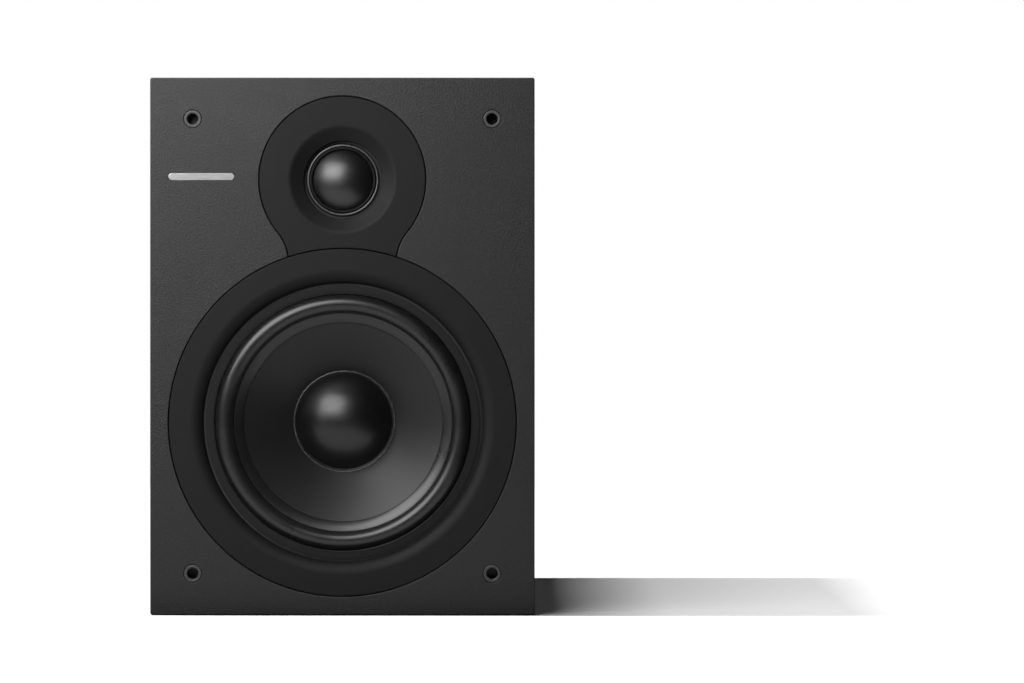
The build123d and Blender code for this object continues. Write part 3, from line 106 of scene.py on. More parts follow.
WOOFER_Z = middle("woofer_trim_ring").z
TWEETER_Z = middle("tweeter_clamp_ring").z
PORT_Z = middle("port_tube").z
CUP_Z = middle("terminal_cup").z
WOOFER_TRIM_R = half_width("woofer_trim_ring")
TRIM_DEPTH = depth_of("woofer_trim_ring", 1)
TWEETER_TRIM_R = half_width("tweeter_trim_plate")
CONE_R = half_width("woofer_cone")
CONE_DEPTH = depth_of("woofer_cone", 0)
NECK_R = half_width("woofer_coil_former")
CAP_LIP_R = half_width("woofer_dust_cap")
DOME_R = half_width("tweeter_dome")
CLAMP_R = half_width("tweeter_clamp_ring")
BADGE = middle("blank_badge")
SOCKET_R = 3.8 * MM
SOCKET_HOLE = 11 * MM


# ---- Settings ----


def length(name, description, millimetres):
    """A length property with a default in millimetres."""
    return bpy.props.FloatProperty(
        name=name, description=description, default=millimetres * MM, min=0, precision=5,
        subtype="DISTANCE", unit="LENGTH",
    )


def power(name, description, watts):
    """A lamp's power."""
    return bpy.props.FloatProperty(
        name=name, description=description, default=watts, min=0, subtype="POWER", unit="POWER"
    )


def colour(name, description, value):
    """A colour property."""
    return bpy.props.FloatVectorProperty(
        name=name, description=description, default=value, min=0, max=1, size=3, subtype="COLOR"
    )


class SpeakerSizes(bpy.types.PropertyGroup):
    edge_round: length("Board edge", "Rounding of the boards' edges", 0.45)
    trim_round: length("Trim edge", "Rounding of the trims' edges", 0.3)
    trim_gap: length("Trim gap", "Gap around the trims", 0.36)
    trim_flat: length("Trim flat", "Radius at which the woofer's trim starts to round over", 64.0)
    trim_inner: length("Trim opening", "Radius of the woofer trim's opening", 58.4)
    neck_fillet: length("Neck fillet", "Radius of the hollow corner at each side of the neck", 19.6)
    recess_radius: length("Recess radius", "Radius of the hollow around the tweeter", 22.1)
    recess_bore: length("Recess bore", "Radius of the bore in the tweeter's trim", 16.3)
    recess_depth: length("Recess depth", "Depth of the hollow around the tweeter", 3.0)
    roll_radius: length("Roll radius", "Radius of the half-roll's section", 3.85)
    roll_centre: length("Roll centre", "Radius from the woofer's axis to the roll's crown", 49.63)
    roll_depth: length("Roll depth", "Depth of the roll's centre", 4.1)
    rubber: length("Rubber thickness", "Thickness of the surround", 0.7)
    flange_radius: length("Surround flange", "Outer radius of the surround's flange", 57.6)
    inner_flange: length("Inner flange", "Inner radius of the surround's glued flange", 41.7)
    cone_swell: length("Cone swell", "How far the cone's side bows forwards", 1.0)
    cone_neck_depth: length("Cone neck", "Depth of the cone's neck", 27.0)
    cap_radius: length("Cap radius", "Radius of the dust cap's dome", 20.1)
    cap_height: length("Cap height", "Height of the dust cap's dome", 11.3)
    dome_height: length("Dome height", "Height of the tweeter's dome", 5.3)
    dome_depth: length("Dome depth", "Depth of the tweeter dome's rim", 5.4)
    silk_roll: length("Silk roll", "Radius of the tweeter surround's roll", 0.8)


class SpeakerColours(bpy.types.PropertyGroup):
    paint: colour("Paint", "The front board's textured paint", (0.0165, 0.0165, 0.0167))
    wrap: colour("Wrap", "The cabinet's vinyl", (0.026, 0.026, 0.027))
    trim: colour("Trim", "The drivers' trims", (0.0048, 0.0048, 0.0049))
    rubber: colour("Rubber", "The woofer's surround", (0.008, 0.008, 0.008))
    cone: colour("Cone", "The woofer's coated cone", (0.010, 0.010, 0.0102))
    cap: colour("Dust cap", "The woofer's dust cap", (0.002, 0.002, 0.002))
    silk: colour("Silk", "The tweeter's coated silk", (0.002, 0.002, 0.002))
    badge: colour("Badge", "The blank badge", (0.42, 0.42, 0.42))


class SpeakerStage(bpy.types.PropertyGroup):
    camera_distance: length("Camera distance", "From the front face", 1530)
    camera_side: length("Camera side", "To the right of the centre", 71)
    camera_height: length("Camera height", "Above the floor", 114.5)
    lens: bpy.props.FloatProperty(name="Lens", description="Focal length in millimetres", default=128.5)
    high_power: power("High light", "The light almost overhead, which grades the shadow by the cabinet", 350)
    middle_power: power("Middle light", "The faint light between the high one and the low one", 130)
    low_power: power("Low light", "The light that ends the shadow", 480)
    front_power: power("Front light", "The softbox over the front", 1.8)
    glow_power: power("Floor glow", "The light that the floor throws up at the front", 0.4)
    rear_power: power("Rear light", "The softbox behind, which lights the speaker and not the floor", 9.0)


# ---- Mesh helpers ----


def ring(bm, points, depth):
    """A closed loop of edges from (x, z) points at a depth."""
    verts = [bm.verts.new((x, FRONT + depth, z)) for x, z in points]
    return [bm.edges.new((verts[i - 1], vert)) for i, vert in enumerate(verts)]


def skin(bm, rings):
    """Faces between each loop and the next."""
    for near, far in zip(rings, rings[1:]):
        bmesh.ops.bridge_loops(bm, edges=near + far)


def fill(bm, *rings):
    """A flat face bounded by loops, the inner ones being holes."""
    bmesh.ops.triangle_fill(bm, edges=[edge for loop in rings for edge in loop], use_beauty=True)


def arc(centre, radius, start, end, steps):
    """Points along an arc, from start to end, in radians."""
    turns = [start + (end - start) * step / steps for step in range(steps + 1)]
    return [(centre[0] + radius * cos(turn), centre[1] + radius * sin(turn)) for turn in turns]


def bowl(radius, centre, rim, steps):
    """Points on a dome from its pole to its rim, where rim is an angle at the centre."""
    turns = [rim * step / steps for step in range(steps + 1)]
    return [(radius * sin(turn), centre - radius * cos(turn)) for turn in turns]


def circle(x, z, radius, steps=96):
    """Outline of a circle that can be grown."""
    return lambda grow=0.0: arc((x, z), radius + grow, 0, tau * (steps - 1) / steps, steps - 1)


def rounded_box(x, z, width, height, corner, steps=8):
    """Outline of a rectangle with round corners that can be grown."""

    def outline(grow=0.0):
        points = []
        for quarter, (side, up) in enumerate(((1, 1), (-1, 1), (-1, -1), (1, -1))):
            centre = (x + side * (width / 2 - corner), z + up * (height / 2 - corner))
            points += arc(centre, corner + grow, quarter * pi / 2, (quarter + 1) * pi / 2, steps)
        return points

    return outline


def trim_outline(sizes, around_woofer, gap=0.0):
    """Outline of the necked tweeter trim, or of the recess that holds both trims."""
    reach = TWEETER_TRIM_R + sizes.neck_fillet
    drop = 0.635 * reach
    neck = (sqrt(reach**2 - drop**2), TWEETER_Z - drop)
    tangent = atan2(-drop, neck[0])

    def outline(grow=0.0):
        neck_r = sizes.neck_fillet - gap - grow
        woofer_r = WOOFER_TRIM_R + gap + grow if around_woofer else WOOFER_TRIM_R + sizes.trim_gap - grow
        away = hypot(neck[0], neck[1] - WOOFER_Z)
        along = (away**2 + woofer_r**2 - neck_r**2) / (2 * away)
        foot_turn = atan2(neck[1] - WOOFER_Z, neck[0]) + acos(along / woofer_r)
        foot = (woofer_r * cos(foot_turn), WOOFER_Z + woofer_r * sin(foot_turn))
        foot_from_neck = atan2(foot[1] - neck[1], foot[0] - neck[0])
        right = arc(neck, neck_r, foot_from_neck, tangent + pi, 14)
        top = arc((0, TWEETER_Z), TWEETER_TRIM_R + gap + grow, tangent, pi - tangent, 128)
        left = [(-x, z) for x, z in reversed(right)]
        if around_woofer:
            under = arc((0, WOOFER_Z), woofer_r, pi - foot_turn, foot_turn + tau, 224)
        else:
            under = arc((0, WOOFER_Z), woofer_r, pi - foot_turn, foot_turn, 32)
        return right + top[1:-1] + left + under[1:-1]

    return outline


def rounded(radius, segments=3):
    """(inset, depth) steps of a rounded edge, from the face to the side."""
    turns = [pi / 2 * step / segments for step in range(segments + 1)]
    return [(radius * (1 - sin(turn)), radius * (1 - cos(turn))) for turn in turns]


def edged_ring_set(bm, outline, edge, depth, hole, base=0.0):
    """Loops of an edge that starts rounded at the face and runs straight to a depth."""
    sign = 1 if hole else -1
    loops = [ring(bm, outline(sign * inset), base + down) for inset, down in rounded(edge)]
    loops.append(ring(bm, outline(), depth))
    return loops


def corner(profile, radius=0.0, segments=3):
    """Rounds the sharp points of a closed (r, depth) profile by a radius that fits the shorter side."""
    rounded_profile = []
    for i, point in enumerate(profile):
        here = Vector(point)
        back, on = Vector(profile[i - 1]) - here, Vector(profile[(i + 1) % len(profile)]) - here
        size = min(radius, 0.45 * back.length, 0.45 * on.length)
        if back.angle(on) > radians(160) or point[0] == 0:
            rounded_profile.append(tuple(here))
            continue
        start, end = here + back.normalized() * size, here + on.normalized() * size
        for step in range(segments + 1):
            t = step / segments
            rounded_profile.append(tuple(start * (1 - t) ** 2 + here * 2 * t * (1 - t) + end * t**2))
    return rounded_profile


def turned(profile, z, steps=192, closed=True, x=0.0):
    """A bmesh spun about a driver's axis from an (r, depth) profile."""
    bm = bmesh.new()
    verts = [bm.verts.new((x + r, FRONT + depth, z)) for r, depth in profile]
    edges = [bm.edges.new(pair) for pair in zip(verts, verts[1:])]
    if closed:
        edges.append(bm.edges.new((verts[-1], verts[0])))
    bmesh.ops.spin(
        bm, geom=verts + edges, cent=(x, FRONT, z), axis=(0, 1, 0), dvec=(0, 0, 0), angle=tau, steps=steps,
        use_merge=True, use_duplicate=False,
    )
    bmesh.ops.remove_doubles(bm, verts=bm.verts[:], dist=1e-7)
    return bm


def settle(bm, name, finish_name, body, nodes=(), sharp=32, flat_faced=False):
    """Turns a bmesh into a finished piece that rides on a body and stands for its nodes."""
    bmesh.ops.remove_doubles(bm, verts=bm.verts[:], dist=1e-7)
    bmesh.ops.dissolve_degenerate(bm, edges=bm.edges[:], dist=1e-7)
    bmesh.ops.recalc_face_normals(bm, faces=bm.faces[:])
    mesh = bpy.data.meshes.new(name)
    bm.to_mesh(mesh)
    bm.free()
    mesh.materials.append(finish(finish_name))
    mesh.shade_smooth()
    mesh.set_sharp_from_angle(angle=radians(sharp))
    piece = bpy.data.objects.new(name, mesh)
    bpy.context.scene.collection.objects.link(piece)
    if flat_faced:
        weights = piece.modifiers.new("face_weights", "WEIGHTED_NORMAL")
        weights.weight = 100
        weights.keep_sharp = True
    if body:
        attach(piece, body)
    if nodes:
        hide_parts(*nodes)
    return piece


def flex(piece, z, inner, outer):
    """Bakes a round piece's transform and works out each vertex's share between the cabinet, outside a
    radius, and a moving body, inside another; the shares are not applied, so the piece does not bend.
    """
    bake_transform(piece)
    for vert in piece.data.vertices:
        share = (outer - hypot(vert.co.x, vert.co.z - z)) / (outer - inner)
        share = min(max(share, 0.0), 1.0)


# ---- Finishes ----


class Finish:
    """A Principled material, with the few chains of nodes that the speaker's finishes are made of."""

    def __init__(self, name, base, roughness, **sockets):
        self.material = bpy.data.materials.new(name)
        self.material.use_nodes = True
        self.tree = self.material.node_tree
        self.shader = self.tree.nodes["Principled BSDF"]
        self.shader.inputs["Base Color"].default_value = (*base, 1)
        self.shader.inputs["Roughness"].default_value = roughness
        for socket, value in sockets.items():
            self.shader.inputs[socket.replace("_", " ")].default_value = value
        self.base = base

    def node(self, kind, **settings):
        made = self.tree.nodes.new(kind)
        for key, value in settings.items():
            setattr(made, key, value)
        return made

    def link(self, start, end):
        self.tree.links.new(start, end)

    def place(self, centre=(0, 0, 0), scale=(1, 1, 1)):
        """Object coordinates from a centre, stretched by a scale."""
        mapping = self.node("ShaderNodeMapping")
        mapping.inputs["Location"].default_value = [-c * s for c, s in zip(centre, scale)]
        mapping.inputs["Scale"].default_value = scale
        self.link(self.node("ShaderNodeTexCoord").outputs["Object"], mapping.inputs["Vector"])
        return mapping.outputs["Vector"]

    def around(self, centre):
        """(radius, depth, turn) coordinates about an axis that runs front to back."""
        split = self.node("ShaderNodeSeparateXYZ")
        self.link(self.place(centre), split.inputs[0])
        x, y, z = split.outputs
        squares = self.maths("ADD", self.maths("MULTIPLY", x, x), self.maths("MULTIPLY", z, z))
        radius = self.maths("SQRT", squares)
        joined = self.node("ShaderNodeCombineXYZ")
        self.link(radius, joined.inputs[0])
        self.link(y, joined.inputs[1])
        self.link(self.maths("ARCTAN2", z, x), joined.inputs[2])
        return joined.outputs[0]

    def maths(self, operation, first, second=None):
        made = self.node("ShaderNodeMath", operation=operation)
        for socket, value in zip(made.inputs, (first, second)):
            if isinstance(value, (int, float)):
                socket.default_value = value
            elif value is not None:
                self.link(value, socket)
        return made.outputs[0]

    def noise(self, vector, size, detail=2.0, rough=0.5):
        made = self.node("ShaderNodeTexNoise")
        made.inputs["Scale"].default_value = 1 / size
        made.inputs["Detail"].default_value = detail
        made.inputs["Roughness"].default_value = rough
        self.link(vector, made.inputs["Vector"])
        return made.outputs["Fac"]

    def cells(self, vector, size, feature="F1"):
        made = self.node("ShaderNodeTexVoronoi", feature=feature)
        made.inputs["Scale"].default_value = 1 / size
        self.link(vector, made.inputs["Vector"])
        return made.outputs["Distance"]

    def waves(self, vector, size, axis="X", profile="SIN"):
        made = self.node("ShaderNodeTexWave", bands_direction=axis, wave_profile=profile)
        made.inputs["Scale"].default_value = 0.314 / size
        self.link(vector, made.inputs["Vector"])
        return made.outputs["Fac"]

    def spread(self, value, low, high, start=0.3, end=0.7):
        made = self.node("ShaderNodeMapRange")
        for socket, number in zip(("From Min", "From Max", "To Min", "To Max"), (start, end, low, high)):
            made.inputs[socket].default_value = number
        self.link(value, made.inputs["Value"])
        return made.outputs["Result"]

    def mottle(self, value, dark=0.8, light=1.2, start=0.3, end=0.7):
        """Base colour from dark to light shares of the base, by a value."""
        ramp = self.node("ShaderNodeValToRGB")
        ramp.color_ramp.elements[0].position = start
        ramp.color_ramp.elements[1].position = end
        for element, share in zip(ramp.color_ramp.elements, (dark, light)):
            element.color = (*[min(1.0, c * share) for c in self.base], 1)
        self.link(value, ramp.inputs["Fac"])
        self.link(ramp.outputs["Color"], self.shader.inputs["Base Color"])

    def polish(self, value, low, high):
        """Roughness from low to high by a value."""
        self.link(self.spread(value, low, high), self.shader.inputs["Roughness"])

    def relief(self, value, depth, strength=1.0):
        """Raises the surface by a value, over what is raised already."""
        bump = self.node("ShaderNodeBump")
        bump.inputs["Distance"].default_value = depth
        bump.inputs["Strength"].default_value = strength
        self.link(value, bump.inputs["Height"])
        under = self.shader.inputs["Normal"]
        if under.is_linked:
            self.link(under.links[0].from_socket, bump.inputs["Normal"])
        self.link(bump.outputs["Normal"], under)


made_finishes = {}


def finish(name):
    """The material of that name, made on first use."""
    if name not in made_finishes:
        made_finishes[name] = FINISHES[name](bpy.context.scene.speaker_colours).material
    return made_finishes[name]


def textured_paint(colours):
    paint = Finish("textured_paint", colours.paint, 0.45)
    fine = paint.noise(paint.place(), 0.8 * MM, 3.0)
    coarse = paint.noise(paint.place(), 60 * MM, 2.0)
    paint.mottle(fine, 0.66, 1.38)
    paint.polish(coarse, 0.43, 0.47)
    paint.relief(fine, 0.14 * MM, 0.7)
    return paint


def vinyl_wrap(colours):
    wrap = Finish("vinyl_wrap", colours.wrap, 0.45)
    grain = wrap.noise(wrap.place(scale=(1, 0.06, 1)), 1.1 * MM, 4.0, 0.6)
    pores = wrap.noise(wrap.place(scale=(1, 0.12, 1)), 0.45 * MM, 2.0)
    wrap.mottle(grain, 0.75, 1.25)
    wrap.polish(grain, 0.38, 0.52)
    wrap.relief(pores, 0.05 * MM, 0.6)
    wrap.relief(grain, 0.08 * MM, 0.5)
    return wrap


def raw_board(colours):
    board = Finish("raw_board", (0.42, 0.29, 0.17), 0.9)
    board.mottle(board.noise(board.place(scale=(1, 1, 0.4)), 1.5 * MM, 4.0), 0.8, 1.15)
    board.relief(board.noise(board.place(), 0.4 * MM), 0.1 * MM, 0.5)
    return board


def moulded(name, base, roughness, spark=0.22 * MM, depth=0.018 * MM, **sockets):
    """Moulded plastic with a spark-eroded texture and slightly uneven gloss."""
    plastic = Finish(name, base, roughness, **sockets)
    grain = plastic.noise(plastic.place(), spark)
    cloud = plastic.noise(plastic.place(), 25 * MM, 2.0)
    plastic.mottle(cloud, 0.92, 1.08)
    plastic.polish(cloud, roughness - 0.03, roughness + 0.03)
    plastic.relief(grain, depth, 0.5)
    return plastic


def trim_plastic(colours):
    return moulded("trim_plastic", colours.trim, 0.62, Specular_IOR_Level=0.3)


def black_plastic(colours):
    return moulded("black_plastic", (0.012, 0.012, 0.012), 0.4)


def socket_plastic(colours):
    return moulded("socket_plastic", (0.06, 0.06, 0.06), 0.38, 0.15 * MM, 0.01 * MM)


def flange_rubber(colours):
    return moulded("flange_rubber", colours.rubber, 0.65, 0.4 * MM, 0.02 * MM, Specular_IOR_Level=0.25)


def roll_silk(colours):
    return moulded("roll_silk", (0.002, 0.002, 0.002), 0.6, 0.2 * MM, 0.01 * MM, Specular_IOR_Level=0.2)


def red_plastic(colours):
    return moulded("red_plastic", (0.42, 0.012, 0.010), 0.25, Coat_Weight=0.3)


def surround_rubber(colours):
    rubber = Finish("surround_rubber", colours.rubber, 0.3, Specular_IOR_Level=0.9)
    cloud = rubber.noise(rubber.place(), 9 * MM, 3.0)
    rubber.mottle(cloud, 0.9, 1.15)
    rubber.polish(cloud, 0.27, 0.34)
    rubber.relief(rubber.noise(rubber.place(), 0.5 * MM), 0.012 * MM, 0.4)
    return rubber


def coated_cone(colours):
    cone = Finish("coated_cone", colours.cone, 0.44, Specular_IOR_Level=0.6)
    centre = (0, FRONT, WOOFER_Z)
    fibres = cone.noise(cone.place(), 0.7 * MM, 3.0, 0.6)
    rings_felt = cone.noise(cone.around(centre), 1.6 * MM, 1.0)
    cone.mottle(fibres, 0.9, 1.12)
    cone.polish(fibres, 0.39, 0.46)
    cone.relief(fibres, 0.02 * MM, 0.5)
    cone.relief(rings_felt, 0.01 * MM, 0.2)
    return cone


def cap_rubber(colours):
    cap = Finish("cap_rubber", colours.cap, 0.33, Specular_IOR_Level=0.9)
    cloud = cap.noise(cap.place(), 6 * MM, 3.0)
    cap.mottle(cloud, 0.9, 1.12)
    cap.polish(cloud, 0.31, 0.36)
    cap.relief(cap.noise(cap.place(), 0.35 * MM), 0.008 * MM, 0.4)
    return cap


def coated_silk(colours):
    coat = {"Specular_IOR_Level": 1.0, "Coat_Weight": 0.6, "Coat_Roughness": 0.36}
    silk = Finish("coated_silk", colours.silk, 0.36, **coat)
    across = silk.waves(silk.place(), 0.22 * MM, "X")
    along = silk.waves(silk.place(), 0.22 * MM, "Z")
    silk.mottle(silk.noise(silk.place(), 3 * MM), 0.9, 1.15)
    silk.relief(silk.maths("MULTIPLY", across, along), 0.012 * MM, 0.5)
    return silk


def glue(colours):
    bead = Finish("cap_glue", (0.035, 0.035, 0.034), 0.3, Coat_Weight=0.5)
    bead.mottle(bead.noise(bead.place(), 1.2 * MM, 3.0), 0.5, 1.9)
    bead.relief(bead.noise(bead.place(), 0.8 * MM), 0.08 * MM, 0.7)
    return bead


def metal(name, base, roughness, brushed=(1, 1, 1), size=0.5 * MM, **sockets):
    """Bare metal with fine marks along the brushed direction."""
    made = Finish(name, base, roughness, Metallic=1.0, **sockets)
    marks = made.noise(made.place(scale=brushed), size, 3.0)
    made.mottle(marks, 0.86, 1.1)
    made.polish(marks, roughness * 0.85, roughness * 1.2)
    made.relief(marks, 0.006 * MM, 0.4)
    return made


def badge_metal(colours):
    return metal("badge_metal", colours.badge, 0.34, (0.05, 1, 1), 0.25 * MM)


def clamp_metal(colours):
    return metal("clamp_metal", (0.2, 0.2, 0.2), 0.3)


def plated_steel(colours):
    return metal("plated_steel", (0.55, 0.55, 0.53), 0.35)


def brass(colours):
    return metal("brass", (0.72, 0.50, 0.22), 0.22)


def cast_frame(colours):
    return moulded("cast_frame", (0.02, 0.02, 0.021), 0.45, 0.8 * MM, 0.05 * MM)


def black_steel(colours):
    return moulded("black_steel", (0.012, 0.012, 0.012), 0.32, 0.4 * MM, 0.01 * MM)


def ferrite(colours):
    return moulded("ferrite", (0.035, 0.035, 0.036), 0.7, 0.6 * MM, 0.04 * MM)


def gasket_foam(colours):
    foam = Finish("gasket_foam", (0.02, 0.02, 0.02), 0.9)
    foam.mottle(foam.cells(foam.place(), 0.5 * MM), 0.6, 1.3)
    foam.relief(foam.cells(foam.place(), 0.5 * MM), 0.15 * MM)
    return foam


def damping_foam(colours):
    foam = Finish("damping_foam", (0.07, 0.07, 0.075), 0.95)
    foam.mottle(foam.cells(foam.place(), 1.6 * MM), 0.6, 1.3)
    foam.relief(foam.cells(foam.place(), 1.6 * MM), 0.8 * MM)
    return foam


def spider_cloth(colours):
    cloth = Finish("spider_cloth", (0.50, 0.33, 0.09), 0.85)
    across, along = cloth.waves(cloth.place(), 0.5 * MM, "X"), cloth.waves(cloth.place(), 0.5 * MM, "Z")
    weave = cloth.maths("MULTIPLY", across, along)
    cloth.mottle(weave, 0.7, 1.15, 0.1, 0.9)
    cloth.relief(weave, 0.08 * MM)
    return cloth


def former_paper(colours):
    return moulded("former_paper", (0.38, 0.24, 0.09), 0.5, 0.3 * MM, 0.02 * MM)


def windings(colours):
    wire = Finish("windings", (0.55, 0.22, 0.08), 0.28, Metallic=1.0)
    turns = wire.waves(wire.place(), 0.4 * MM, "Y")
    wire.mottle(turns, 0.5, 1.1, 0.1, 0.9)
    wire.relief(turns, 0.12 * MM)
    return wire


def tag_board(colours):
    return moulded("tag_board", (0.25, 0.12, 0.05), 0.6, 0.3 * MM, 0.02 * MM)


def circuit_board(colours):
    board = Finish("circuit_board", (0.02, 0.12, 0.045), 0.35)
    board.mottle(board.cells(board.place(scale=(1, 0.3, 1)), 9 * MM), 0.8, 1.25, 0.4, 0.5)
    board.relief(board.noise(board.place(), 0.4 * MM), 0.01 * MM)
    return board


def standoff_plastic(colours):
    return moulded("standoff_plastic", (0.7, 0.7, 0.66), 0.45)


def capacitor_film(colours):
    return moulded("capacitor_film", (0.5, 0.2, 0.02), 0.3)


def cement(colours):
    block = Finish("cement", (0.62, 0.6, 0.55), 0.85)
    block.mottle(block.noise(block.place(), 1.0 * MM, 4.0), 0.85, 1.1)
    block.relief(block.noise(block.place(), 0.5 * MM, 3.0), 0.1 * MM)
    return block


def wire_red(colours):
    return moulded("wire_red", (0.4, 0.015, 0.012), 0.4)


def wire_black(colours):
    return moulded("wire_black", (0.015, 0.015, 0.015), 0.4)


def pale_floor(colours):
    floor = Finish("pale_floor", (0.9, 0.9, 0.9), 0.9)
    floor.mottle(floor.noise(floor.place(), 0.4), 0.99, 1.01)
    return floor


FINISHES = {
    made.__name__: made
    for made in (
        textured_paint, vinyl_wrap, raw_board, trim_plastic, black_plastic, socket_plastic, red_plastic,
        surround_rubber, flange_rubber, coated_cone, cap_rubber, coated_silk, roll_silk, glue, badge_metal,
        clamp_metal, plated_steel, brass, cast_frame, black_steel, ferrite, gasket_foam, damping_foam,
        spider_cloth, former_paper, windings, tag_board, circuit_board, standoff_plastic, capacitor_film,
        cement, wire_red, wire_black, pale_floor,
    )
}

# The finish of each of the record's material slots.
SLOT_FINISH = {
    "cabinet_black": "textured_paint", "cabinet_wrap": "vinyl_wrap", "raw_board": "raw_board",
    "foam": "damping_foam", "black_plastic": "black_plastic", "satin_plastic": "trim_plastic",
    "badge_metal": "badge_metal", "cast_frame": "cast_frame", "gasket_foam": "gasket_foam",
    "black_steel": "black_steel", "plated_steel": "plated_steel", "ferrite": "ferrite",
    "rubber": "surround_rubber", "cone_paper": "coated_cone", "cap_rubber": "cap_rubber",
    "spider_cloth": "spider_cloth", "former": "former_paper", "copper": "windings",
    "clamp_metal": "clamp_metal", "silk": "coated_silk", "tag_board": "tag_board", "brass": "brass",
    "red_plastic": "red_plastic", "circuit_board": "circuit_board", "standoff_plastic": "standoff_plastic",
    "capacitor_film": "capacitor_film", "cement": "cement",
    "wire_red": "wire_red", "wire_black": "wire_black",
}


# ---- Pieces ----


def cone_front(sizes):
    """Depth of the cone's front at a radius: an arc from its rim to its neck that bows forwards."""
    wide, deep = CONE_R - NECK_R, sizes.cone_neck_depth - CONE_DEPTH
    chord = hypot(wide, deep)
    arc_r = (chord**2 / 4 + sizes.cone_swell**2) / (2 * sizes.cone_swell)
    centre_r = (CONE_R + NECK_R) / 2 + deep / chord * (arc_r - sizes.cone_swell)
    centre_depth = (CONE_DEPTH + sizes.cone_neck_depth) / 2 + wide / chord * (arc_r - sizes.cone_swell)
    return lambda r: centre_depth - sqrt(arc_r**2 - (r - centre_r) ** 2)


class SPEAKER_OT_front_board(bpy.types.Operator):
    """Front board with the recess for both trims, the driver openings and the socket holes"""

    bl_idname = "speaker.front_board"
    bl_label = "Front board"

    def execute(self, context):
        sizes = context.scene.speaker_sizes
        thickness = BAFFLE_REAR - FRONT
        socket_low, socket_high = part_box("grille_sockets")
        bm = bmesh.new()
        outside = rounded_box(0, HEIGHT / 2, WIDTH, HEIGHT, 0.9 * MM)
        edge = edged_ring_set(bm, outside, sizes.edge_round, thickness, hole=False)
        recess = edged_ring_set(
            bm, trim_outline(sizes, True, sizes.trim_gap), sizes.trim_round, TRIM_DEPTH, hole=True
        )
        holes = []
        for x in (socket_low.x + SOCKET_R, socket_high.x - SOCKET_R):
            for z in (socket_low.z + SOCKET_R, socket_high.z - SOCKET_R):
                outline = circle(x, z, SOCKET_R, 48)
                holes.append(edged_ring_set(bm, outline, sizes.trim_round, SOCKET_HOLE, hole=True))
        badge_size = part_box("blank_badge")[1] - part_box("blank_badge")[0]
        slot = rounded_box(BADGE.x, BADGE.z, badge_size.x, badge_size.z, badge_size.z / 2 - 1e-5, 12)
        holes.append(edged_ring_set(bm, slot, 0.08 * MM, badge_size.y, hole=True))
        fill(bm, edge[0], recess[0], *[hole[0] for hole in holes])
        for hole in holes:
            skin(bm, hole)
            fill(bm, hole[-1])
        skin(bm, edge)
        skin(bm, recess)
        woofer_opening = (WOOFER_Z, 67.5 * MM, 59.5 * MM, 8.5 * MM)
        tweeter_opening = (TWEETER_Z, 32.2 * MM, 27 * MM, 7.8 * MM)
        openings = []
        for z, rebate_r, opening_r, rebate_depth in (woofer_opening, tweeter_opening):
            opening = [ring(bm, circle(0, z, rebate_r)(), depth) for depth in (TRIM_DEPTH, rebate_depth)]
            opening += [ring(bm, circle(0, z, opening_r)(), depth) for depth in (rebate_depth, thickness)]
            skin(bm, opening)
            openings.append(opening)
        fill(bm, recess[-1], *[opening[0] for opening in openings])
        fill(bm, edge[-1], *[opening[-1] for opening in openings])
        nodes = ["front_baffle"]
        settle(bm, "front_board", "textured_paint", "cabinet", nodes, flat_faced=True)
        return {"FINISHED"}


class SPEAKER_OT_cabinet(bpy.types.Operator):
    """Four mitred walls, each with half of the round at its two corners"""

    bl_idname = "speaker.cabinet"
    bl_label = "Cabinet walls"

    def execute(self, context):
        edge = 0.9 * MM
        for quarter, node in enumerate(("right_panel", "top_panel", "left_panel", "bottom_panel")):
            across, along = (WIDTH, HEIGHT) if quarter % 2 == 0 else (HEIGHT, WIDTH)
            section = [(across / 2 - WALL, along / 2 - WALL)]
            centre = (across / 2 - edge, along / 2 - edge)
            section += arc(centre, edge, pi / 4, 0, 4)
            section += [(x, -z) for x, z in reversed(section)]
            turn = Matrix.Rotation(quarter * pi / 2, 2)
            points = [tuple(turn @ Vector(point) + Vector((0, HEIGHT / 2))) for point in section]
            bm = bmesh.new()
            loops = [ring(bm, points, depth) for depth in (BAFFLE_REAR - FRONT, REAR - FRONT)]
            skin(bm, loops)
            fill(bm, loops[0])
            fill(bm, loops[1])
            rear_edges = [e for e in bm.edges if all(v.co.y > REAR - MM for v in e.verts)]
            outer = [e for e in rear_edges if is_outside(e)]
            shape = {"segments": 2, "profile": 0.5, "material": -1, "offset_type": "OFFSET"}
            bmesh.ops.bevel(bm, geom=outer, affect="EDGES", offset=0.4 * MM, **shape)
            wall = node.replace("panel", "wall")
            settle(bm, wall, "vinyl_wrap", "cabinet", [node], flat_faced=True)
        return {"FINISHED"}


def is_outside(edge):
    """Whether an edge lies on the cabinet's outside, away from its rounded corners."""
    on_side = all(abs(abs(v.co.x) - WIDTH / 2) < 1e-5 for v in edge.verts)
    on_end = all(min(abs(v.co.z), abs(v.co.z - HEIGHT)) < 1e-5 for v in edge.verts)
    return on_side or on_end


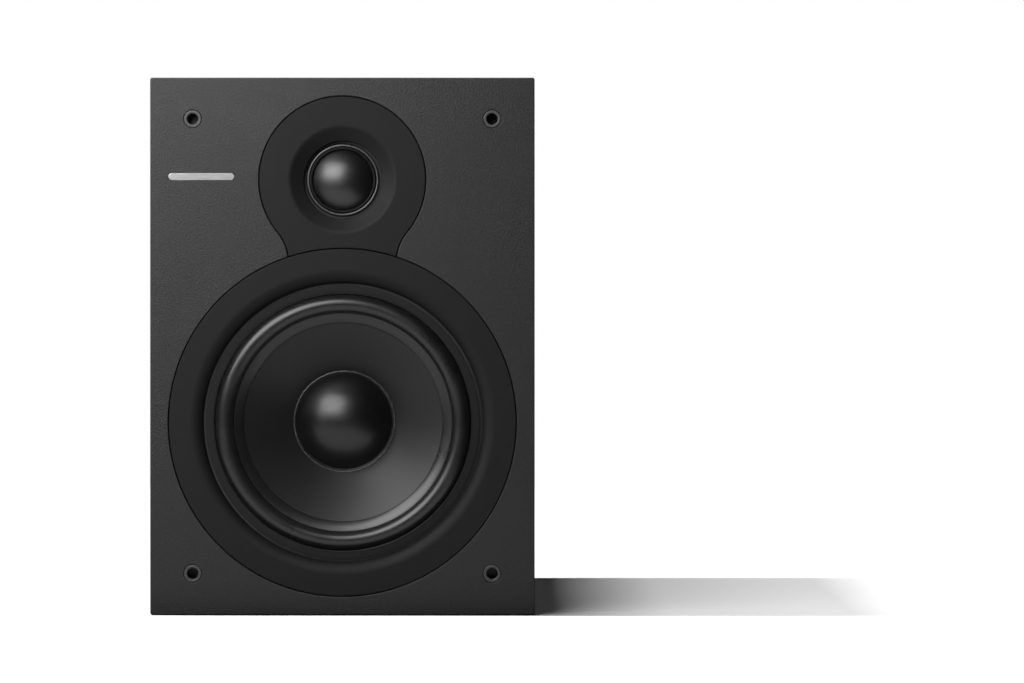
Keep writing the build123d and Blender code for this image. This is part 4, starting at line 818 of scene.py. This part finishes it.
class SPEAKER_OT_sockets(bpy.types.Operator):
    """Four lipped sockets for a grille's pegs"""

    bl_idname = "speaker.sockets"
    bl_label = "Grille sockets"

    def execute(self, context):
        low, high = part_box("grille_sockets")
        lip_r, bore_r, body_r = SOCKET_R, 2.3 * MM, 3.2 * MM
        bore_depth, body_depth = 9.5 * MM, 10.9 * MM
        lip = [(lip_r - 0.08 * MM, 0.5 * MM), (lip_r - 0.12 * MM, 0.28 * MM)]
        lip += arc((3.3 * MM, 0.55 * MM), 0.5 * MM, -0.3 * pi, -0.5 * pi, 4)
        lip += arc((2.75 * MM, 0.5 * MM), 0.45 * MM, -0.5 * pi, -pi, 6)
        lip += [(bore_r, 1.1 * MM), (bore_r, bore_depth), (0, bore_depth), (0, body_depth)]
        lip += [(body_r, body_depth), (body_r, 0.5 * MM)]
        bm = bmesh.new()
        for x in (low.x + lip_r, high.x - lip_r):
            for z in (low.z + lip_r, high.z - lip_r):
                cup = turned(lip, z, 48, x=x)
                mesh = bpy.data.meshes.new("cup")
                cup.to_mesh(mesh)
                cup.free()
                bm.from_mesh(mesh)
                bpy.data.meshes.remove(mesh)
        settle(bm, "socket_cups", "socket_plastic", "cabinet", ["grille_sockets"], 50)
        return {"FINISHED"}


class SPEAKER_OT_badge(bpy.types.Operator):
    """Plain metal badge, inlaid flush with the front board"""

    bl_idname = "speaker.badge"
    bl_label = "Blank badge"

    def execute(self, context):
        low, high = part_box("blank_badge")
        size = high - low
        gap = 0.1 * MM
        outline = rounded_box(BADGE.x, BADGE.z, size.x - gap, size.z - gap, size.z / 2 - 0.06 * MM, 12)
        bm = bmesh.new()
        loops = edged_ring_set(bm, outline, 0.18 * MM, size.y, hole=False)
        skin(bm, loops)
        fill(bm, loops[0])
        fill(bm, loops[-1])
        settle(bm, "plain_badge", "badge_metal", "cabinet", ["blank_badge"], flat_faced=True)
        return {"FINISHED"}


class SPEAKER_OT_woofer_trim(bpy.types.Operator):
    """Trim ring that rounds over towards the woofer's surround"""

    bl_idname = "speaker.woofer_trim"
    bl_label = "Woofer trim ring"

    def execute(self, context):
        sizes = context.scene.speaker_sizes
        wide, deep = sizes.trim_flat - sizes.trim_inner, TRIM_DEPTH
        outer = WOOFER_TRIM_R
        turns = [pi / 2 * step / 20 for step in range(21)]
        profile = [(sizes.trim_flat - wide * sin(turn), deep - deep * cos(turn)) for turn in reversed(turns)]
        edge = sizes.trim_round
        profile += arc((outer - edge, edge), edge, -pi / 2, 0, 4)
        profile += [(outer, deep)]
        bm = turned(profile, WOOFER_Z, 256)
        settle(bm, "woofer_trim", "trim_plastic", "cabinet", ["woofer_trim_ring"], 40, True)
        return {"FINISHED"}


class SPEAKER_OT_woofer_surround(bpy.types.Operator):
    """Rubber half-roll between the basket's flange and the cone"""

    bl_idname = "speaker.woofer_surround"
    bl_label = "Woofer surround"

    def execute(self, context):
        sizes = context.scene.speaker_sizes
        front = cone_front(sizes)
        middle_r, roll, rubber = sizes.roll_centre, sizes.roll_radius, sizes.rubber
        lift = 0.35 * MM
        gap = 0.03 * MM
        inner_edge = sizes.inner_flange
        flange = TRIM_DEPTH - rubber
        profile = [(inner_edge, front(inner_edge) - gap)]
        profile += [(inner_edge + 0.05 * MM, front(inner_edge + 0.05 * MM) - lift * 0.8)]
        profile += [(r, front(r) - lift) for r in (inner_edge + 0.2 * MM, 43.4 * MM, 45.0 * MM)]
        profile += [(middle_r - roll - 0.05 * MM, sizes.roll_depth + 0.1 * MM)]
        profile += arc((middle_r, sizes.roll_depth), roll, pi + 0.1, tau - 0.1, 32)
        edge = middle_r + roll
        profile += [(edge + 0.08 * MM, flange + 0.62 * MM), (edge + 0.35 * MM, flange + 0.12 * MM)]
        foot = edge + 0.75 * MM
        profile += [(foot, flange), (foot, TRIM_DEPTH - gap), (middle_r + roll - rubber, TRIM_DEPTH - gap)]
        profile += arc((middle_r, sizes.roll_depth), roll - rubber, tau - 0.1, pi + 0.1, 24)
        profile += [(CONE_R, front(CONE_R) - gap)]
        bm = turned(profile, WOOFER_Z, 256)
        piece = settle(bm, "woofer_roll", "surround_rubber", None, ["woofer_surround"], 50)
        flex(piece, WOOFER_Z, middle_r - roll + 0.2 * MM, middle_r + roll - 0.2 * MM)
        foot += 0.01 * MM
        section = [(foot, flange), (sizes.flange_radius, flange)]
        section += [(sizes.flange_radius, TRIM_DEPTH - gap), (foot, TRIM_DEPTH - gap)]
        ring_piece = turned(corner(section, 0.12 * MM), WOOFER_Z, 192)
        settle(ring_piece, "surround_flange", "flange_rubber", "cabinet", (), 50)
        return {"FINISHED"}


class SPEAKER_OT_woofer_cone(bpy.types.Operator):
    """Coated cone, with its dust cap and the bead of glue around the cap"""

    bl_idname = "speaker.woofer_cone"
    bl_label = "Woofer cone and cap"

    def execute(self, context):
        sizes = context.scene.speaker_sizes
        front = cone_front(sizes)
        thickness, gap = 0.75 * MM, 0.02 * MM
        steps = 48
        radii = [CONE_R + (NECK_R - CONE_R) * step / steps for step in range(steps + 1)]
        profile = [(r, front(r)) for r in radii] + [(r, front(r) + thickness) for r in reversed(radii)]
        bm = turned(profile, WOOFER_Z, 256)
        settle(bm, "woofer_diaphragm", "coated_cone", "woofer_moving", ["woofer_cone"], 50)

        wide, high = sizes.cap_radius, sizes.cap_height
        paper = 0.6 * MM
        base = front(wide) - gap - paper
        sphere = (wide**2 + high**2) / (2 * high)
        centre = base - high + sphere
        lip = wide + 0.5 * MM
        cap = bowl(sphere, centre, asin(wide / sphere), 40)
        cap += [(lip, front(lip) - paper * 0.75), (CAP_LIP_R - 0.1 * MM, front(CAP_LIP_R) - 0.3 * MM)]
        cap += [(CAP_LIP_R, front(CAP_LIP_R) - gap), (wide - paper, front(wide - paper) - gap)]
        inner_rim = asin((wide - paper) / (sphere - paper))
        cap += reversed(bowl(sphere - paper, centre, inner_rim, 40))
        bm = turned(cap, WOOFER_Z, 192)
        settle(bm, "woofer_cap", "cap_rubber", "woofer_moving", ["woofer_dust_cap"], 50)

        bead_r = CAP_LIP_R - 0.25 * MM
        bead = turned(arc((bead_r, front(bead_r) - 0.2 * MM), 0.42 * MM, 0, tau * 11 / 12, 11), WOOFER_Z, 192)
        for vert in bead.verts:
            around = Vector((vert.co.x, 0, vert.co.z - WOOFER_Z)).normalized()
            lump = noise.noise(around * 14) + 0.6 * noise.noise(around * 40)
            vert.co += around * lump * 0.16 * MM + Vector((0, -0.05 * MM * lump, 0))
        settle(bead, "cap_glue_bead", "glue", "woofer_moving", (), 80)
        return {"FINISHED"}


class SPEAKER_OT_tweeter_trim(bpy.types.Operator):
    """Necked trim plate with the hollow around the dome"""

    bl_idname = "speaker.tweeter_trim"
    bl_label = "Tweeter trim plate"

    def execute(self, context):
        sizes = context.scene.speaker_sizes
        bm = bmesh.new()
        outside = edged_ring_set(bm, trim_outline(sizes, False), sizes.trim_round, TRIM_DEPTH, hole=False)
        lip, bore = sizes.recess_radius, sizes.recess_bore
        wide, deep = lip - bore, sizes.recess_depth
        soft = 0.9 * MM
        hollow = []
        for step in range(6):
            t = step / 5
            hollow.append((lip + soft * (1 - t) ** 2 - soft * t**2, deep / wide * soft * t**2))
        hollow += [(bore + 0.35 * MM, deep - 0.2 * MM), (bore + 0.08 * MM, deep + 0.02 * MM)]
        hollow += [(bore, deep + 0.2 * MM), (bore, TRIM_DEPTH)]
        inside = [ring(bm, circle(0, TWEETER_Z, r, 192)(), depth) for r, depth in hollow]
        skin(bm, outside)
        skin(bm, inside)
        fill(bm, outside[0], inside[0])
        fill(bm, outside[-1], inside[-1])
        nodes = ["tweeter_trim_plate"]
        settle(bm, "tweeter_trim", "trim_plastic", "cabinet", nodes, 40, True)
        return {"FINISHED"}


class SPEAKER_OT_tweeter_dome(bpy.types.Operator):
    """Silk dome with its roll and the bright ring that clamps it"""

    bl_idname = "speaker.tweeter_dome"
    bl_label = "Tweeter dome"

    def execute(self, context):
        sizes = context.scene.speaker_sizes
        silk, thin = 0.15 * MM, 0.3 * MM
        depth = sizes.dome_depth
        ring_front, ring_rear = depth_of("tweeter_clamp_ring", 0), depth_of("tweeter_clamp_ring", 1)
        ring_inner = 14.2 * MM
        section = [(ring_inner, ring_front), (CLAMP_R, ring_front)]
        section += [(CLAMP_R, ring_rear), (ring_inner, ring_rear)]
        bm = turned(corner(section, 0.22 * MM, 5), TWEETER_Z, 160)
        settle(bm, "clamp_ring", "clamp_metal", "cabinet", ["tweeter_clamp_ring"], 50)

        high = sizes.dome_height
        sphere = (DOME_R**2 + high**2) / (2 * high)
        centre = depth - high + sphere
        dome = bowl(sphere, centre, asin(DOME_R / sphere), 36)
        inner, inner_high = DOME_R - thin, high - thin
        inner_sphere = (inner**2 + inner_high**2) / (2 * inner_high)
        inner_centre, inner_rim = depth - inner_high + inner_sphere, asin(inner / inner_sphere)
        dome += reversed(bowl(inner_sphere, inner_centre, inner_rim, 36))
        bm = turned(dome, TWEETER_Z, 160)
        settle(bm, "dome", "coated_silk", "tweeter_moving", ["tweeter_dome"], 60)

        roll, roll_r = sizes.silk_roll, DOME_R + 0.07 * MM + sizes.silk_roll
        profile = arc((roll_r, depth), roll, pi, tau - 0.18, 14)
        hem = 15.6 * MM
        profile += [(roll_r + roll + 0.1 * MM, depth - silk), (hem, depth - silk), (hem, depth - 0.01 * MM)]
        profile += [(roll_r + roll - silk, depth - 0.01 * MM)]
        profile += arc((roll_r, depth), roll - silk, tau - 0.02, pi, 12)
        bm = turned(profile, TWEETER_Z, 160)
        piece = settle(bm, "silk_roll", "roll_silk", None, ["tweeter_surround"], 60)
        flex(piece, TWEETER_Z, roll_r - roll, roll_r + roll)
        return {"FINISHED"}


class SPEAKER_OT_port(bpy.types.Operator):
    """Flared port tube at the back"""

    bl_idname = "speaker.port"
    bl_label = "Port"

    def execute(self, context):
        low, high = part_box("port_tube")
        flange_r = half_width("port_tube")
        bore, wall, flare, flange = 17.5 * MM, 2.5 * MM, 8 * MM, 3 * MM
        rear, inner_end = high.y - FRONT, low.y - FRONT
        edge = 0.6 * MM
        profile = arc((bore + flare, rear - flare), flare, pi / 2, pi, 16)
        profile += [(bore, inner_end + 6 * MM)]
        profile += arc((bore + wall, inner_end + wall), wall, pi, 1.5 * pi, 6)[1:]
        profile += [(bore + wall, inner_end + wall * 0.6), (bore + wall, rear - flange - flare)]
        profile += arc((bore + wall + flare, rear - flange - flare), flare, pi, pi / 2, 8)[1:-1]
        profile += [(bore + wall + flare - 1 * MM, rear - flange), (flange_r, rear - flange)]
        profile += arc((flange_r - edge, rear - edge), edge, 0, pi / 2, 4)
        bm = turned(profile, PORT_Z, 128)
        settle(bm, "port_flare", "black_plastic", "cabinet", ["port_tube"], 40)
        return {"FINISHED"}


class SPEAKER_OT_terminal_cup(bpy.types.Operator):
    """Recessed cup that holds the binding posts"""

    bl_idname = "speaker.terminal_cup"
    bl_label = "Terminal cup"

    def execute(self, context):
        low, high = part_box("terminal_cup")
        size = high - low
        rear, floor, flange = high.y - FRONT, low.y - FRONT, 2.5 * MM
        wall, corner_r = 2 * MM, 5 * MM
        body_x, body_z = 61.6 * MM, 43.6 * MM
        rim = rounded_box(0, CUP_Z, size.x, size.z, 4 * MM)
        body = rounded_box(0, CUP_Z, body_x, body_z, corner_r)
        inside = rounded_box(0, CUP_Z, body_x - 2 * wall, body_z - 2 * wall, corner_r - wall)
        screw_x, screw_z, stud_x = 35 * MM, 26 * MM, 9.5 * MM
        bm = bmesh.new()
        edge = 0.5 * MM
        face = [ring(bm, rim(-inset), rear - down) for inset, down in rounded(edge)]
        face.append(ring(bm, rim(), rear - flange))
        pocket = [ring(bm, inside(inset), rear - down) for inset, down in rounded(0.8 * MM, 4)]
        pocket += [ring(bm, inside(-0.3 * MM), floor + wall + 1.5 * MM)]
        for inset, down in ((0.7 * MM, 0.5 * MM), (1.8 * MM, 0)):
            pocket.append(ring(bm, inside(-inset), floor + wall + down))
        countersink = ((2.95 * MM, 0), (1.5 * MM, 1.4 * MM), (1.5 * MM, flange))
        screws = []
        for x in (-screw_x, screw_x):
            for z in (CUP_Z - screw_z, CUP_Z + screw_z):
                screws.append([ring(bm, circle(x, z, r, 32)(), rear - down) for r, down in countersink])
        fill(bm, face[0], pocket[0], *[screw[0] for screw in screws])
        skin(bm, face)
        skin(bm, pocket)
        for screw in screws:
            skin(bm, screw)
        studs = []
        for x in (-stud_x, stud_x):
            studs.append([ring(bm, circle(x, CUP_Z, 3 * MM, 32)(), depth) for depth in (floor + wall, floor)])
            skin(bm, studs[-1])
        fill(bm, pocket[-1], *[stud[0] for stud in studs])
        back = [ring(bm, body(), rear - flange), ring(bm, body(), floor + MM), ring(bm, body(-MM), floor)]
        skin(bm, back)
        fill(bm, face[-1], back[0], *[screw[-1] for screw in screws])
        fill(bm, back[-1], *[stud[-1] for stud in studs])
        settle(bm, "connection_cup", "black_plastic", "cabinet", ["terminal_cup"], 40, True)
        return {"FINISHED"}


class SPEAKER_OT_binding_posts(bpy.types.Operator):
    """Fluted knobs of the two binding posts"""

    bl_idname = "speaker.binding_posts"
    bl_label = "Binding post knobs"

    def execute(self, context):
        for side in ("red", "black"):
            node = f"{side}_knob"
            low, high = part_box(node)
            centre = (low + high) / 2
            radius, front, rear = half_width(node), low.y - FRONT, high.y - FRONT
            bore, flutes, deep = 3.08 * MM, 12, 0.75 * MM
            steps = flutes * 12

            def fluted(r, flute):
                points = []
                for step in range(steps):
                    turn = tau * step / steps
                    groove = max(0.0, cos(turn * flutes)) ** 2
                    out = r - flute * groove
                    points.append((centre.x + out * cos(turn), centre.z + out * sin(turn)))
                return points

            levels = [(radius - 0.8 * MM, 0, front), (radius - 0.2 * MM, 0, front + 0.25 * MM)]
            levels += [(radius, 0, front + 0.8 * MM), (radius, 0, front + 2.4 * MM)]
            levels += [(radius, deep, front + 3.2 * MM), (radius, deep, rear - 1.2 * MM)]
            levels += [(radius - 0.25 * MM, 0.6 * MM, rear - 0.5 * MM), (radius - 0.9 * MM, 0.2 * MM, rear)]
            bm = bmesh.new()
            outside = [ring(bm, fluted(r, flute), depth) for r, flute, depth in levels]
            mouth = [(bore + 1.2 * MM, rear), (bore + 0.4 * MM, rear - 0.9 * MM)]
            mouth += [(bore, rear - 1.2 * MM), (bore, front)]
            inside = [ring(bm, circle(centre.x, centre.z, r, steps)(), depth) for r, depth in mouth]
            skin(bm, outside)
            skin(bm, inside)
            fill(bm, outside[-1], inside[0])
            fill(bm, outside[0], inside[-1])
            settle(bm, f"{side}_grip", f"{side}_plastic", node, [node], 35)
        return {"FINISHED"}


class SPEAKER_OT_inner_pieces(bpy.types.Operator):
    """Spider and braided leads, and the finish of every piece whose engineering shape is kept"""

    bl_idname = "speaker.inner_pieces"
    bl_label = "Inner pieces"

    def execute(self, context):
        low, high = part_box("woofer_spider")
        cloth, waves_count = 0.5 * MM, 4
        mid = (low.y + high.y) / 2 - FRONT
        free_r, outer_r = 31 * MM, half_width("woofer_spider")
        steps = 64
        crest = 1 * MM
        line = []
        for step in range(steps + 1):
            t = step / steps
            swing = sin(t * tau * waves_count) * min(1.0, 6 * t, 6 * (1 - t))
            line.append((NECK_R + (free_r - NECK_R) * t, mid + crest * swing))
        line.append((outer_r, mid))
        profile = [(r, depth - cloth / 2) for r, depth in line]
        profile += [(r, depth + cloth / 2) for r, depth in reversed(line)]
        bm = turned(profile, WOOFER_Z, 96)
        piece = settle(bm, "spider", "spider_cloth", None, ["woofer_spider"], 60)
        flex(piece, WOOFER_Z, NECK_R + MM, free_r)

        leads = bmesh.new()
        leads.from_mesh(frame["nodes"]["woofer_tinsel_leads"].data)
        piece = settle(leads, "braided_leads", "windings", None, ["woofer_tinsel_leads"], 60)
        flex(piece, WOOFER_Z, 25 * MM, 44 * MM)

        for part in frame["record"]["subparts"]:
            node = frame["nodes"][part["node"]]
            for material_slot in node.material_slots:
                material_slot.material = finish(SLOT_FINISH[part["material_slot"]])
        return {"FINISHED"}


# ---- Stage ----


def area_light(name, place, target, size, power):
    """A rectangular lamp at a place, turned to a target."""
    lamp = bpy.data.lights.new(name, "AREA")
    lamp.shape = "RECTANGLE"
    lamp.size, lamp.size_y = size
    lamp.energy = power
    obj = bpy.data.objects.new(name, lamp)
    obj.location = place
    obj.visible_camera = False
    obj.rotation_euler = (Vector(target) - Vector(place)).to_track_quat("-Z", "Y").to_euler()
    bpy.context.scene.collection.objects.link(obj)
    return obj


class SPEAKER_OT_stage(bpy.types.Operator):
    """Pale floor, soft lights, white surroundings and the camera"""

    bl_idname = "speaker.stage"
    bl_label = "Stage"

    def execute(self, context):
        stage = context.scene.speaker_stage
        bm = bmesh.new()
        bmesh.ops.create_grid(bm, x_segments=8, y_segments=8, size=1.2)
        floor = settle(bm, "floor", "pale_floor", None)
        for vert in floor.data.vertices:
            vert.co.z = -0.0002
        floor.visible_glossy = False
        floor.visible_diffuse = False

        far = 8.0
        for name, low, high, watts in (
            ("high_light", 76.5, 88.5, stage.high_power),
            ("middle_light", 62, 76.5, stage.middle_power),
            ("low_light", 53.5, 60.5, stage.low_power),
        ):
            turn = radians((low + high) / 2)
            place = (-far * cos(turn), 0, far * sin(turn))
            area_light(name, place, (0, 0, 0), (0.25, far * radians(high - low)), watts)
        place, target = (-0.24, FRONT - 0.35, 0.39), (-0.04, FRONT, 0.13)
        area_light("front_softbox", place, target, (0.46, 0.34), stage.front_power)
        place, target = (-0.16, FRONT - 0.22, 0.0005), (-0.16, FRONT - 0.22, 1)
        area_light("floor_glow", place, target, (0.62, 0.40), stage.glow_power)

        place, target = (0.5, REAR + 0.7, 0.6), (0.03, REAR - 0.06, 0.12)
        behind = area_light("rear_softbox", place, target, (0.9, 0.7), stage.rear_power)
        speaker = bpy.data.collections.new("lit_from_behind")
        for obj in context.scene.objects:
            if obj.type == "MESH" and obj != floor:
                speaker.objects.link(obj)
        behind.light_linking.receiver_collection = speaker

        world = bpy.data.worlds.new("white_surroundings")
        world.use_nodes = True
        nodes, links = world.node_tree.nodes, world.node_tree.links
        seen = nodes.new("ShaderNodeLightPath")
        around = nodes["Background"]
        around.inputs["Color"].default_value = (0.02, 0.02, 0.02, 1)
        backdrop = nodes.new("ShaderNodeBackground")
        backdrop.inputs["Color"].default_value = (1, 1, 1, 1)
        either = nodes.new("ShaderNodeMixShader")
        links.new(seen.outputs["Is Camera Ray"], either.inputs["Fac"])
        links.new(around.outputs["Background"], either.inputs[1])
        links.new(backdrop.outputs["Background"], either.inputs[2])
        links.new(either.outputs["Shader"], nodes["World Output"].inputs["Surface"])
        context.scene.world = world
        context.scene.view_settings.view_transform = "Standard"

        lens = bpy.data.cameras.new("front_camera")
        lens.sensor_width = 36
        lens.lens = stage.lens
        camera = bpy.data.objects.new("front_camera", lens)
        camera.location = (stage.camera_side, FRONT - stage.camera_distance, stage.camera_height)
        camera.rotation_euler = (pi / 2, 0, 0)
        context.scene.collection.objects.link(camera)
        context.scene.camera = camera
        return {"FINISHED"}


class SPEAKER_PT_panel(bpy.types.Panel):
    """Lists the speaker's settings and pieces"""

    bl_label = "Bookshelf speaker"
    bl_space_type = "VIEW_3D"
    bl_region_type = "UI"
    bl_category = "Speaker"

    def draw(self, context):
        for group_name in GROUPS:
            group = getattr(context.scene, group_name)
            box = self.layout.box()
            for name in group.bl_rna.properties.keys():
                if name not in {"rna_type", "name"}:
                    box.prop(group, name)
        for operator in OPERATORS:
            self.layout.operator(operator.bl_idname)


GROUPS = {"speaker_sizes": SpeakerSizes, "speaker_colours": SpeakerColours, "speaker_stage": SpeakerStage}
OPERATORS = (
    SPEAKER_OT_front_board, SPEAKER_OT_cabinet, SPEAKER_OT_sockets, SPEAKER_OT_badge, SPEAKER_OT_woofer_trim,
    SPEAKER_OT_woofer_surround, SPEAKER_OT_woofer_cone, SPEAKER_OT_tweeter_trim, SPEAKER_OT_tweeter_dome,
    SPEAKER_OT_port, SPEAKER_OT_terminal_cup, SPEAKER_OT_binding_posts, SPEAKER_OT_inner_pieces,
    SPEAKER_OT_stage,
)


def register():
    for name, group in GROUPS.items():
        bpy.utils.register_class(group)
        setattr(bpy.types.Scene, name, bpy.props.PointerProperty(type=group))
    for made in (*OPERATORS, SPEAKER_PT_panel):
        bpy.utils.register_class(made)


def unregister():
    for made in (SPEAKER_PT_panel, *reversed(OPERATORS)):
        bpy.utils.unregister_class(made)
    for name, group in GROUPS.items():
        delattr(bpy.types.Scene, name)
        bpy.utils.unregister_class(group)


def main():
    register()
    for operator in OPERATORS:
        group, action = operator.bl_idname.split(".")
        getattr(getattr(bpy.ops, group), action)()


if __name__ == "__main__":
    main()
